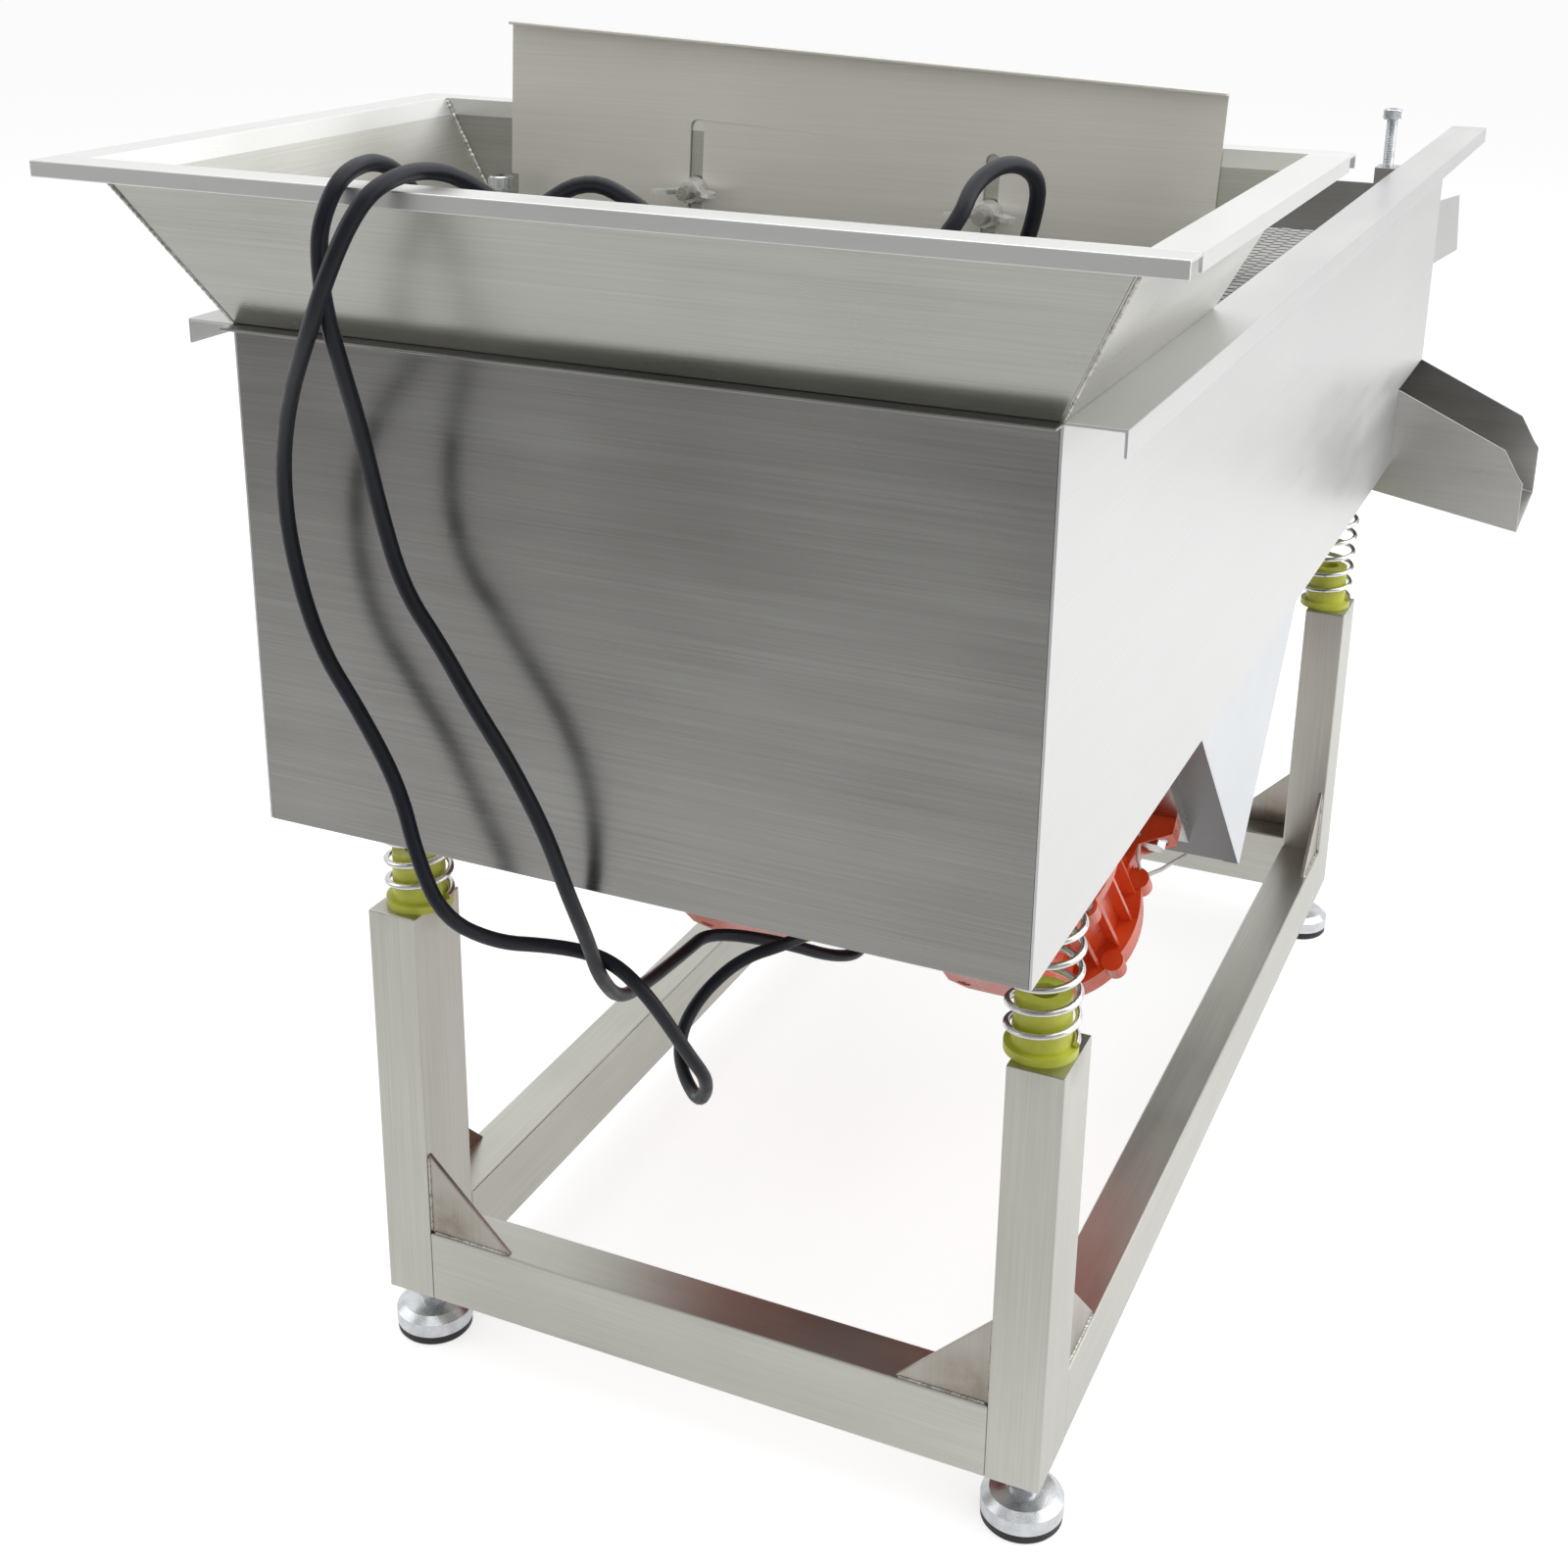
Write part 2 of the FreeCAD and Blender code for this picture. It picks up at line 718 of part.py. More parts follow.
def make_hopper_rear():
    """The upright rear wall with its rim, and the two welded studs of the gate."""
    body = make_body("hopper_rear")
    skin = S("sheet")
    low = S("rear_wall_bottom")
    top = S("rim_level")
    face = S("hopper_rear")
    inner = S("box_half_width") - skin
    outer = inner + S("hopper_side_lean")
    shoulder = S("box_top")
    pad(body, "XZ", face, skin, Polygon(
        (-inner, low), (inner, low), (inner, shoulder), (outer, top), (-outer, top), (-inner, shoulder)))
    reach = S("rim_reach") - 3
    rim_half = outer + skin + S("rim_reach")
    pad(body, "YZ", -rim_half, rim_half * 2, Polygon(
        (face, top), (face + reach, top), (face + reach, top - S("rim_lip")),
        (face + reach - skin, top - S("rim_lip")), (face + reach - skin, top - skin), (face, top - skin)))
    for side in (-1, 1):
        pad(body, "XZ", face - S("gate_stud_reach"), S("gate_stud_reach") + skin / 2,
            Circle(S("gate_stud_spacing") / 2 * side, S("gate_stud_level"), S("gate_stud_radius")))
    return keep(body)


def make_bosses():
    """Blocks welded inside the sides that guide the clamp screws."""
    blocks = []
    for row, y in (("front", S("clamp_front")), ("rear", S("clamp_rear"))):
        for hand, side in (("left", -1), ("right", 1)):
            body = make_body("clamp_boss_%s_%s" % (row, hand))
            low, width = span(side, inner_half - S("boss_width"), inner_half)
            half = S("boss_length") / 2
            level = S("box_top") - S("boss_height")
            pad(body, "XY", level, S("boss_height"),
                rectangle(low, low + width, y - half, y + half))
            pocket(body, "XY", level, S("boss_height"),
                   Circle(clamp_x * side, y, S("clamp_radius") + S("thread_play")))
            blocks.append(body)
    keep(group("clamp_bosses", blocks))


clamp_x = inner_half - S("boss_width") / 2


def make_clamp_screws():
    """Socket-head screws that bear on the edge of the upper deck."""
    for row, y in (("front", S("clamp_front")), ("rear", S("clamp_rear"))):
        for hand, side in (("left", -1), ("right", 1)):
            body = make_body("clamp_screw_%s_%s" % (row, hand))
            tip = S("deck_level") + S("sheet")
            neck = S("clamp_head_top") - S("clamp_head_height")
            revolve(body, Polygon(
                (0, tip), (S("clamp_radius"), tip), (S("clamp_radius"), neck),
                (S("clamp_head_radius"), neck), (S("clamp_head_radius"), S("clamp_head_top") - 0.8),
                (S("clamp_head_radius") - 0.8, S("clamp_head_top")), (0, S("clamp_head_top"))))
            depth = S("clamp_head_height") / 2
            radius = S("clamp_socket") / (2 * math.cos(math.pi / 6))
            pocket(body, "XY", S("clamp_head_top") - depth, depth + 1, hexagon(radius))
            place(body, clamp_x * side, y, 0)
            keep(body)


def hexagon(radius):
    corners = []
    for k in range(6):
        corners.append((radius * math.cos(k * math.pi / 3), radius * math.sin(k * math.pi / 3)))
    return Polygon(*corners)


def make_cross_plate():
    """The baffle across the box at the rear clamp bosses."""
    body = make_body("cross_plate")
    half = inner_half
    top = S("box_top") - S("boss_height") / 2 + 5
    face = S("clamp_rear") - S("boss_length") / 2
    pad(body, "YZ", -half, half * 2, rectangle(
        face - S("cross_plate_sheet"), face, top - S("cross_plate_height"), top))
    return keep(body)


# ---------------------------------------------------------------- gate

def make_gate():
    """The slotted plate that sets the depth of the feed; it hangs slightly askew."""
    body = make_body("gate_plate")
    half = inner_half - S("gate_side_gap")
    skin = S("gate_sheet")
    slot_radius = S("gate_stud_radius") + S("slot_play")
    slots = []
    for side in (-1, 1):
        slots.append(Slot(S("gate_stud_spacing") / 2 * side, -S("slot_down") + slot_radius,
                          S("slot_up") - slot_radius, slot_radius))
    neck = half - S("gate_neck")
    shoulder = -S("gate_shoulder")
    foot = -S("gate_below")
    top = S("gate_above")
    pad(body, "XZ", -skin - S("gate_gap"), skin, Polygon(
        (-half, top), (-half, shoulder), (-neck, shoulder), (-neck, foot),
        (neck, foot), (neck, shoulder), (half, shoulder), (half, top)), *slots)
    pad(body, "YZ", -half, half * 2, rectangle(
        -S("gate_gap") - S("gate_lip"), -S("gate_gap"), S("gate_above") - skin, S("gate_above")))
    tilt = FreeCAD.Rotation(FreeCAD.Vector(0, 1, 0), SIZES["gate_tilt"])
    place(body, 0, S("hopper_rear"), S("gate_stud_level"), tilt)
    bind(body, "Placement.Rotation.Angle", S("gate_tilt"))
    return keep(body)


def make_wing_nut(name, side):
    """A wing nut on a gate stud: a conical hub and two raised ears."""
    body = make_body(name)
    face = -S("gate_gap") * 2 - S("gate_sheet")
    hub = S("wing_hub_radius")
    bore = S("gate_stud_radius") + S("thread_play")
    height = S("wing_hub_height")
    revolve(body, Polygon((bore, 0), (hub, 0), (hub - 2, height), (bore, height)))
    half = S("wing_span") / 2
    ear = S("wing_sheet")
    for hand in (-1, 1):
        pad(body, "XZ", -ear / 2, ear, Polygon(
            ((bore + 1.5) * hand, 2), (hub * hand, 2), ((half - 3) * hand, S("wing_height") - 9),
            (half * hand, S("wing_height") - 3), ((half - 5) * hand, S("wing_height")),
            ((half - 12) * hand, S("wing_height") - 3), ((bore + 1.5) * hand, height - 1)))
    turn = FreeCAD.Rotation(FreeCAD.Vector(1, 0, 0), 90)
    place(body, S("gate_stud_spacing") / 2 * side, S("hopper_rear") + face, S("gate_stud_level"), turn)
    return keep(body)


# ---------------------------------------------------------------- outlets

def make_rear_chute():
    """The open trough that carries the oversize off the upper deck."""
    body = make_body("rear_chute")
    skin = S("sheet")
    start = S("rear_chute_start")
    lip = S("rear_chute_lip")
    shoulder = S("rear_chute_shoulder")
    high = S("rear_chute_high")
    drop = S("rear_chute_drop")
    floor_start = high - S("rear_chute_wall")
    floor_end = floor_start - drop
    outer = inner_half
    pad(body, "YZ", -outer, outer * 2, Polygon(
        (start, floor_start), (lip, floor_end), (lip, floor_end + skin), (start, floor_start + skin)))
    for side in (-1, 1):
        low, width = span(side, outer - skin, outer)
        pad(body, "YZ", low, width, Polygon(
            (start, floor_start), (lip, floor_end), (shoulder, high - drop), (start, high)))
    return keep(body)


def make_side_chute():
    """The cross trough behind the lower deck; it falls to the right and juts out."""
    body = make_body("side_chute")
    skin = S("sheet")
    slope = S("side_chute_slope")
    edge = S("box_half_width")
    reach = S("side_chute_reach")
    base = S("side_chute_floor")
    left = -inner_half
    low_end = base - (reach - edge) * slope
    high_end = base + (edge + inner_half) * slope
    near = S("side_chute_near")
    far = S("box_rear") + skin
    pad(body, "XZ", near, far - near, Polygon(
        (left, high_end), (reach, low_end), (reach, low_end + skin), (left, high_end + skin)))
    inside_top = S("lower_deck_level") - S("deck_bar_sheet") - 1
    wall_top = base + S("side_chute_wall")
    for at in (near, S("box_rear")):
        pad(body, "XZ", at, skin, Polygon(
            (left, high_end), (reach, low_end), (reach, S("side_chute_nose") - 8),
            (reach - 6, S("side_chute_nose")), (reach - 22, S("side_chute_shoulder")),
            (edge + 1, wall_top), (inner_half - 1, wall_top), (inner_half - 1, inside_top),
            (left, inside_top)))
    return keep(body)


def make_funnel():
    """The V-shaped fines funnel; its front wall carries the motors."""
    body = make_body("fines_funnel")
    half = inner_half - S("funnel_side_gap")
    skin = S("sheet")
    tip_y = S("tip_y")
    tip = S("tip_level")
    front_top = S("pan_level")
    rise = front_top - tip
    run = rise * slope_cos / slope_sin
    thick = skin / slope_sin
    rear_top = S("lower_deck_level") - S("deck_bar_sheet")
    rear_y = S("funnel_rear_top")
    pad(body, "YZ", -half, half * 2, Polygon(
        (tip_y, tip), (tip_y + thick, tip), (tip_y + thick - run, front_top), (tip_y - run, front_top)))
    pad(body, "YZ", -half, half * 2, Polygon(
        (tip_y, tip), (rear_y, rear_top), (rear_y - thick, rear_top), (tip_y - 0.2, tip + 2)))
    for side in (-1, 1):
        low, width = span(side, half - skin, half)
        pad(body, "YZ", low, width, Polygon(
            (tip_y, tip), (rear_y, rear_top), (tip_y - run, rear_top), (tip_y - run, front_top)))
        low, width = span(side, half - skin, inner_half)
        pad(body, "YZ", low, width, rectangle(
            tip_y - run, rear_y, rear_top - skin, rear_top))
    outlet = S("outlet_half_width")
    pocket(body, "YZ", -outlet, outlet * 2, rectangle(
        tip_y - S("outlet_height") - 20, tip_y + S("outlet_height") + 20, tip - 5, tip + S("outlet_height")))
    return keep(body)


# ---------------------------------------------------------------- motors

def on_slope(thing, x, away, up, turn=None):
    """Place something by its distance off the funnel's front wall and up it."""
    y = S("tip_y") - away * slope_sin - up * slope_cos
    z = S("tip_level") - away * slope_cos + up * slope_sin
    if turn is None:
        place(thing, x, y, z, TILT)
        bind(thing, "Placement.Rotation.Angle", S("throw_angle"))
    else:
        place(thing, x, y, z, TILT.multiply(turn))


def make_motor_plate():
    """The thick plate on the funnel's front wall, in the slope's own frame."""
    body = make_body("motor_plate")
    half = S("motor_plate_half_width")
    long_half = S("motor_plate_length") / 2
    pad(body, "XZ", 0, S("motor_plate"), rectangle(-half, half, -long_half, long_half))
    for motor in (-1, 1):
        for across in (-1, 1):
            for along in (-1, 1):
                x = S("motor_offset") * motor + S("foot_bolt_across") / 2 * across
                pocket(body, "XZ", 0, S("motor_plate"), Circle(
                    x, S("foot_bolt_along") / 2 * along, S("foot_bolt_radius") + S("foot_bolt_play")))
    on_slope(body, 0, S("motor_plate"), S("motor_up_wall"))
    return keep(body)


motor_away = S("motor_plate") + S("motor_axis_height")


def make_housing(name, side):
    """The cast housing: barrel, end rings, stator bore, feet and terminal box."""
    body = make_body(name)
    half = S("motor_half_length")
    ring = S("ring_width")
    barrel = S("barrel_radius")
    rim = S("ring_radius")
    bore = S("core_radius")
    bearing = S("shaft_radius") + S("bearing_play")
    revolve(body, Polygon(
        (bearing, -half), (rim, -half), (rim, ring - half), (barrel, ring - half),
        (barrel, half - ring), (rim, half - ring), (rim, half), (bearing, half),
        (bearing, half - ring), (bore, half - ring), (bore, ring - half), (bearing, ring - half)))
    feet = S("motor_axis_height")
    thick = S("foot_thickness")
    wide = S("foot_half_width")
    for along in (-1, 1):
        low, length = span(along, half - S("foot_pad"), half)
        for hand in (-1, 1):
            pad(body, "XY", low, length, Polygon(
                ((bore + 6) * hand, feet), (wide * hand, feet), (wide * hand, feet - thick),
                ((barrel + 4) * hand, feet - thick * 2), (barrel * hand * 0.9, 0),
                ((bore + 6) * hand, 0)))
    for across in (-1, 1):
        for along in (-1, 1):
            pocket(body, "XZ", feet - thick * 3, thick * 3 + 1, Circle(
                S("foot_bolt_across") / 2 * across, S("foot_bolt_along") / 2 * along,
                S("foot_bolt_radius") + S("foot_bolt_play")))
            pocket(body, "XZ", barrel * 0.6, feet - thick - barrel * 0.6, Circle(
                S("foot_bolt_across") / 2 * across, S("foot_bolt_along") / 2 * along,
                S("foot_washer_radius") + S("foot_bolt_play")))
    box_half = S("terminal_half_width")
    box_long = S("terminal_half_length")
    pad(body, "XY", -box_long, box_long * 2, rectangle(
        -box_half, box_half, -S("terminal_reach"), -bore - 4))
    pocket(body, "XZ", -S("terminal_reach"), S("terminal_reach") - barrel - 2, rectangle(
        5 - box_half, box_half - 5, 5 - box_long, box_long - 5))
    on_slope(body, S("motor_offset") * side, motor_away, S("motor_up_wall"))
    return keep(body)


def make_covers(name, side):
    """The two end covers over the unbalance weights."""
    covers = []
    half = S("motor_half_length")
    rim = S("ring_radius") - 3
    wall = S("cover_wall")
    depth = S("cover_depth")
    for end, label in ((-1, "lower"), (1, "upper")):
        body = make_body("%s_%s" % (name, label))
        revolve(body, Polygon(
            (rim, half * end), (rim, (half + depth - 8) * end), (rim - 8, (half + depth) * end),
            (0, (half + depth) * end), (0, (half + depth - wall) * end),
            (rim - 8, (half + depth - wall) * end), (rim - wall, (half + depth - 10) * end),
            (rim - wall, half * end)))
        on_slope(body, S("motor_offset") * side, motor_away, S("motor_up_wall"))
        covers.append(body)
    return keep(group(name, covers))


def make_rotor(name, side):
    """A shaft with its core and an unbalance weight at each end."""
    body = make_body(name)
    half = S("motor_half_length")
    core = S("core_radius") - S("air_gap")
    shaft = S("shaft_radius")
    inside = half - S("ring_width") - 3
    tail = half + S("weight_thickness") + 5
    revolve(body, Polygon(
        (0, -tail), (shaft, -tail), (shaft, -inside), (core, -inside),
        (core, inside), (shaft, inside), (shaft, tail), (0, tail)))
    for end in (-1, 1):
        low, width = span(end, half + 2, half + 2 + S("weight_thickness"))
        pad(body, "XY", low, width, Sector(S("weight_radius"), shaft - 4))
    on_slope(body, S("motor_offset") * side, motor_away, S("motor_up_wall"))
    return keep(body)


class Sector:
    """A half disc below the axis, closed by a flat above it."""

    def __init__(self, radius, above):
        self.radius = radius
        self.above = above

    def draw(self, sketch):
        r = as_size(self.radius).value
        up = as_size(self.above).value
        reach = math.sqrt(r * r - up * up)
        start = math.atan2(up, -reach)
        end = math.atan2(up, reach) + 2 * math.pi
        arc = sketch.addGeometry(Part.ArcOfCircle(
            Part.Circle(FreeCAD.Vector(0, 0, 0), FreeCAD.Vector(0, 0, 1), r), start, end), False)
        flat = sketch.addGeometry(Part.LineSegment(
            FreeCAD.Vector(reach, up, 0), FreeCAD.Vector(-reach, up, 0)), False)
        sketch.addConstraint(Sketcher.Constraint("Coincident", arc, 2, flat, 1))
        sketch.addConstraint(Sketcher.Constraint("Coincident", flat, 2, arc, 1))
        sketch.addConstraint(Sketcher.Constraint("Coincident", arc, 3, -1, 1))
        sketch.addConstraint(Sketcher.Constraint("Horizontal", flat))
        radius = sketch.addConstraint(Sketcher.Constraint("Radius", arc, r))
        bind(sketch, "Constraints[%d]" % radius, self.radius)
        level = sketch.addConstraint(Sketcher.Constraint("DistanceY", -1, 1, flat, 1, up))
        bind(sketch, "Constraints[%d]" % level, self.above)


def make_lids():
    """Terminal-box lids with cropped corners and sunk screw seats."""
    lids = []
    for hand, side in (("left", -1), ("right", 1)):
        body = make_body("terminal_lid_" + hand)
        wide = S("lid_half_width")
        long_half = S("lid_half_length")
        crop = S("lid_corner")
        outer = -S("terminal_reach") - S("lid_thickness")
        pad(body, "XZ", outer, S("lid_thickness"), Polygon(
            (crop - wide, -long_half), (wide - crop, -long_half), (wide, crop - long_half),
            (wide, long_half - crop), (wide - crop, long_half), (crop - wide, long_half),
            (-wide, long_half - crop), (-wide, crop - long_half)))
        for across in (-1, 1):
            for along in (-1, 1):
                pocket(body, "XZ", outer, S("lid_thickness") / 2, Circle(
                    (wide - crop) * across, (long_half - crop) * along, 5.5))
        on_slope(body, S("motor_offset") * side, motor_away, S("motor_up_wall"))
        lids.append(body)
    keep(group("terminal_lids", lids))


def make_glands():
    """Cable glands in the inner side wall of each terminal box."""
    glands = []
    for hand, side in (("left", -1), ("right", 1)):
        body = make_body("gland_" + hand)
        length = S("gland_length")
        radius = S("gland_radius")
        cable = S("cable_radius")
        revolve(body, Polygon(
            (0, 0), (radius, 0), (radius, length * 0.4), (radius - 2, length * 0.4),
            (radius - 2, length * 0.8), (cable + 1.5, length), (0, length)))
        away = motor_away + (S("barrel_radius") + S("terminal_reach")) / 2
        x = (S("motor_offset") - S("terminal_half_width")) * side
        turn = FreeCAD.Rotation(FreeCAD.Vector(0, 1, 0), -90 * side)
        on_slope(body, x, away, S("motor_up_wall"), turn)
        glands.append(body)
    keep(group("cable_glands", glands))


def make_foot_bolts():
    """Hexagon bolts through the motor feet and the plate."""
    bolts = []
    for motor in (-1, 1):
        for across in (-1, 1):
            for along in (-1, 1):
                body = make_body("foot_bolt")
                grip = S("motor_plate") + S("foot_thickness")
                pad(body, "XZ", 0, grip, Circle(0, 0, S("foot_bolt_radius")))
                pad(body, "XZ", -2.5, 2.5, Circle(0, 0, S("foot_washer_radius")))
                pad(body, "XZ", -10.5, 8, hexagon(S("foot_bolt_radius") * 1.7))
                x = S("motor_offset") * motor + S("foot_bolt_across") / 2 * across
                on_slope(body, x, grip, S("motor_up_wall") + S("foot_bolt_along") / 2 * along)
                bolts.append(body)
    keep(group("foot_bolts", bolts))


# ---------------------------------------------------------------- cables

ROUTE_FRONT = [
    (50, -182.5, 263.8), (14, -182.5, 263.8), (0, -206, 286), (6, -252, 312), (10, -300, 330),
    (-4, -342, 330), (-31, -370, 325), (-48, -398, 308), (-56, -418, 289), (-51, -438, 276),
    (-35, -460, 269), (-10, -484, 268), (9, -508, 305), (5, -530, 337), (-3, -550, 374),
    (-14, -562, 401), (-32, -566, 418), (-52, -570, 425), (-72, -588, 434), (-89, -624, 450),
    (-107, -656, 479), (-126, -654, 517), (-140, -648, 559), (-168, -645, 603), (-198, -645, 645),
    (-212, -648, 705), (-208, -657, 762), (-177, -685, 818), (-138, -714, 866), (-116, -722, 904),
    (-103, -716, 933), (-93, -698, 955), (-88, -668, 960), (-82, -634, 949), (-67, -600, 933),
    (-36, -580, 935), (-3, -572, 926), (35, -565, 893), (75, -560, 866), (118, -557, 868),
    (155, -552, 894), (183, -546, 927), (183, -524, 951), (195, -496, 962), (205, -468, 944),
    (195, -448, 912), (182, -436, 884), (174, -440, 842), (170, -448, 806), (170, -448, 773)]
ROUTE_LOOP = [
    (-50, -182.5, 263.8), (-10, -182.5, 263.8), (6, -212, 260), (0, -258, 276), (-28, -306, 308),
    (-68, -352, 330), (-71, -385, 329), (-68, -430, 336), (-64, -475, 345), (-50, -532, 370),
    (-37, -580, 415), (-30, -606, 455), (-27, -624, 483), (-29, -635, 509), (-36, -645, 549),
    (-57, -650, 594), (-83, -650, 630), (-104, -648, 661), (-130, -648, 695), (-141, -652, 745),
    (-140, -668, 798), (-135, -690, 841), (-136, -701, 876), (-135, -705, 908), (-129, -707, 935),
    (-122, -689, 962), (-124, -656, 965), (-129, -622, 945), (-130, -597, 905), (-122, -572, 866),
    (-111, -540, 834), (-100, -510, 806), (-100, -510, 773)]
COIL_CENTRES = {"coil_right": (115, -470), "coil_left": (-137, -462)}


def rounded_path(points):
    """Straight runs joined by tangent arcs as large as the runs allow."""
    points = [FreeCAD.Vector(*point) for point in points]
    edges = []
    radii = []
    start = points[0]
    length = 0.0
    for before, corner, after in zip(points, points[1:], points[2:]):
        back = before - corner
        ahead = after - corner
        turn = math.pi - back.getAngle(ahead)
        cut = 0.45 * min(back.Length, ahead.Length)
        radius = cut / math.tan(turn / 2)
        back.normalize()
        ahead.normalize()
        enter = corner + back * cut
        leave = corner + ahead * cut
        middle = (back + ahead).normalize()
        centre = corner + middle * (radius / math.cos(turn / 2))
        crown = centre - middle * radius
        edges.append(Part.LineSegment(start, enter).toShape())
        edges.append(Part.Arc(enter, crown, leave).toShape())
        length += (enter - start).Length + radius * turn
        radii.append(radius)
        start = leave
    edges.append(Part.LineSegment(start, points[-1]).toShape())
    length += (points[-1] - start).Length
    return Part.Wire(edges), length, radii


def make_cable(name, points):
    """A round cable along its route, checked by section times length."""
    wire, length, radii = rounded_path(points)
    radius = SIZES["cable_radius"]
    first = FreeCAD.Vector(*points[0])
    ahead = FreeCAD.Vector(*points[1]) - first
    ring = Part.Wire([Part.Circle(first, ahead, radius).toShape()])
    shape = wire.makePipeShell([ring], True, False)
    tube = doc.addObject("Part::Feature", name)
    tube.Label = name
    tube.Shape = shape
    share = tube.Shape.Volume / (math.pi * radius * radius * length)
    print("%s: length %.0f, volume over section times length %.4f, radii %s" % (
        name, length, share, " ".join("%.0f" % r for r in radii)))
    if abs(share - 1) > 0.01:
        raise ValueError("the tube of %s is not as thick as its section" % name)
    return keep(tube)


def make_coil(name):
    """The outer shape of the spare cable coiled on the upper deck."""
    body = make_body(name)
    out = S("coil_radius")
    hole = S("coil_hole")
    high = S("coil_height")
    round_off = S("cable_radius")
    revolve(body, Polygon(
        (hole, round_off), (hole + round_off, 0), (out - round_off, 0), (out, round_off),
        (out, high - round_off), (out - round_off, high), (hole + round_off, high),
        (hole, high - round_off)))
    x, y = COIL_CENTRES[name]
    place(body, x, y, S("deck_level") + S("sheet"))
    return keep(body)


make_rails()
for corner_name, (hand_x, hand_y) in CORNERS.items():
    make_post("post_" + corner_name, hand_x, hand_y)
make_gussets()
make_suspension()
make_side_panel("side_panel_left", -1)
make_side_panel("side_panel_right", 1)
make_front_panel()
make_rear_panel()
make_decks()
make_hopper_side("hopper_left", -1)
make_hopper_side("hopper_right", 1)
make_hopper_front()
make_hopper_rear()
make_bosses()
make_clamp_screws()
make_cross_plate()
make_gate()
make_wing_nut("wing_nut_left", -1)
make_wing_nut("wing_nut_right", 1)
make_rear_chute()
make_side_chute()
make_funnel()
make_motor_plate()
for motor_hand, motor_side in (("left", -1), ("right", 1)):
    make_housing("motor_housing_" + motor_hand, motor_side)
    make_covers("motor_covers_" + motor_hand, motor_side)
    make_rotor("motor_rotor_" + motor_hand, motor_side)
make_lids()
make_glands()
make_foot_bolts()
make_cable("cable_front", ROUTE_FRONT)
make_cable("cable_loop", ROUTE_LOOP)
make_coil("coil_right")
make_coil("coil_left")

doc.recompute()
failed = [item.Name for item in doc.Objects if "Invalid" in item.State or "Error" in item.State]
if failed:
    raise RuntimeError("failed objects: %s" % failed)
os.makedirs("parts", exist_ok=True)
for part in parts:
    if part.Shape.isNull() or not part.Shape.isValid():
        raise RuntimeError("bad shape: " + part.Label)
    part.Shape.exportStep("parts/%s.step" % part.Label)
    box = part.Shape.BoundBox
    print("%-26s %d solid(s) x %.0f..%.0f y %.0f..%.0f z %.0f..%.0f" % (
        part.Label, len(part.Shape.Solids), box.XMin, box.XMax, box.YMin, box.YMax, box.ZMin, box.ZMax))
print(len(parts), "sub-parts")
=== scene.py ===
"""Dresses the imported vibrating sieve: cables, perforated deck, welds and materials.

Metres, +Z up, +Y along the flow, the feed end at -Y, floor at Z 0.
"""

import math

import bmesh
import bpy
from mathutils import Matrix, Vector, noise


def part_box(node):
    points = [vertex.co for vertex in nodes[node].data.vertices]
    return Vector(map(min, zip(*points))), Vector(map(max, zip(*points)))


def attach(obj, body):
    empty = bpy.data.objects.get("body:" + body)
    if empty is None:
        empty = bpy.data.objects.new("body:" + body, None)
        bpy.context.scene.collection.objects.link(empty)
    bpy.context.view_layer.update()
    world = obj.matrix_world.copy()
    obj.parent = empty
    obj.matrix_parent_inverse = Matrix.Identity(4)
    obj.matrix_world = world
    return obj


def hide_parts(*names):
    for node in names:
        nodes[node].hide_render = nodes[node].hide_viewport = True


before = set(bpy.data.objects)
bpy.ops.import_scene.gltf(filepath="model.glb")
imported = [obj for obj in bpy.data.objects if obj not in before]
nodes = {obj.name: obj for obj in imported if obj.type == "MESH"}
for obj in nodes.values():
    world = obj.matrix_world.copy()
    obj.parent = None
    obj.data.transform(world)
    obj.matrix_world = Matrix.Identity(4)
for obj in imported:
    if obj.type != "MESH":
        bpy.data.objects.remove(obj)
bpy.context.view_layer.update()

MM = 0.001
CORNER_SIGNS = {"front_left": (-1, -1), "front_right": (1, -1),
                "rear_left": (-1, 1), "rear_right": (1, 1)}

# ---------------------------------------------------------------- camera

CAMERA_PLACE = Vector((0.57822, -1.66052, 1.11961))
CAMERA_RIGHT = Vector((0.9106509, 0.4130197, 0.0113923))
CAMERA_DOWN = Vector((0.1476780, -0.2996107, -0.9425628))
CAMERA_AHEAD = Vector((-0.3858837, 0.8600280, -0.3338347))
SENSOR_WIDTH, FOCAL_LENGTH = 36, 48.397
CAMERA_SHIFT = (0.0009, -0.1166)
CLIP_NEAR, CLIP_FAR = 0.05, 50

camera_data = bpy.data.cameras.new("photo_camera")
camera = bpy.data.objects.new("photo_camera", camera_data)
bpy.context.scene.collection.objects.link(camera)
axes = Matrix((CAMERA_RIGHT, -CAMERA_DOWN, -CAMERA_AHEAD)).transposed()
camera.matrix_world = Matrix.Translation(CAMERA_PLACE) @ axes.to_4x4()
camera_data.sensor_width = SENSOR_WIDTH
camera_data.lens = FOCAL_LENGTH
camera_data.shift_x, camera_data.shift_y = CAMERA_SHIFT
camera_data.clip_start = CLIP_NEAR
camera_data.clip_end = CLIP_FAR
bpy.context.scene.camera = camera


# ---------------------------------------------------------------- materials

HEAT_BROWN = (0.16, 0.125, 0.085)


def node_adder(tree):
    """The short way to add a node: its inputs by name or number, then its settings."""

    def add(kind, inputs=None, **settings):
        node = tree.nodes.new(kind)
        for key, value in settings.items():
            setattr(node, key, value)
        for key, value in (inputs or {}).items():
            if isinstance(value, bpy.types.NodeSocket):
                tree.links.new(value, node.inputs[key])
            else:
                node.inputs[key].default_value = value
        return node

    return add


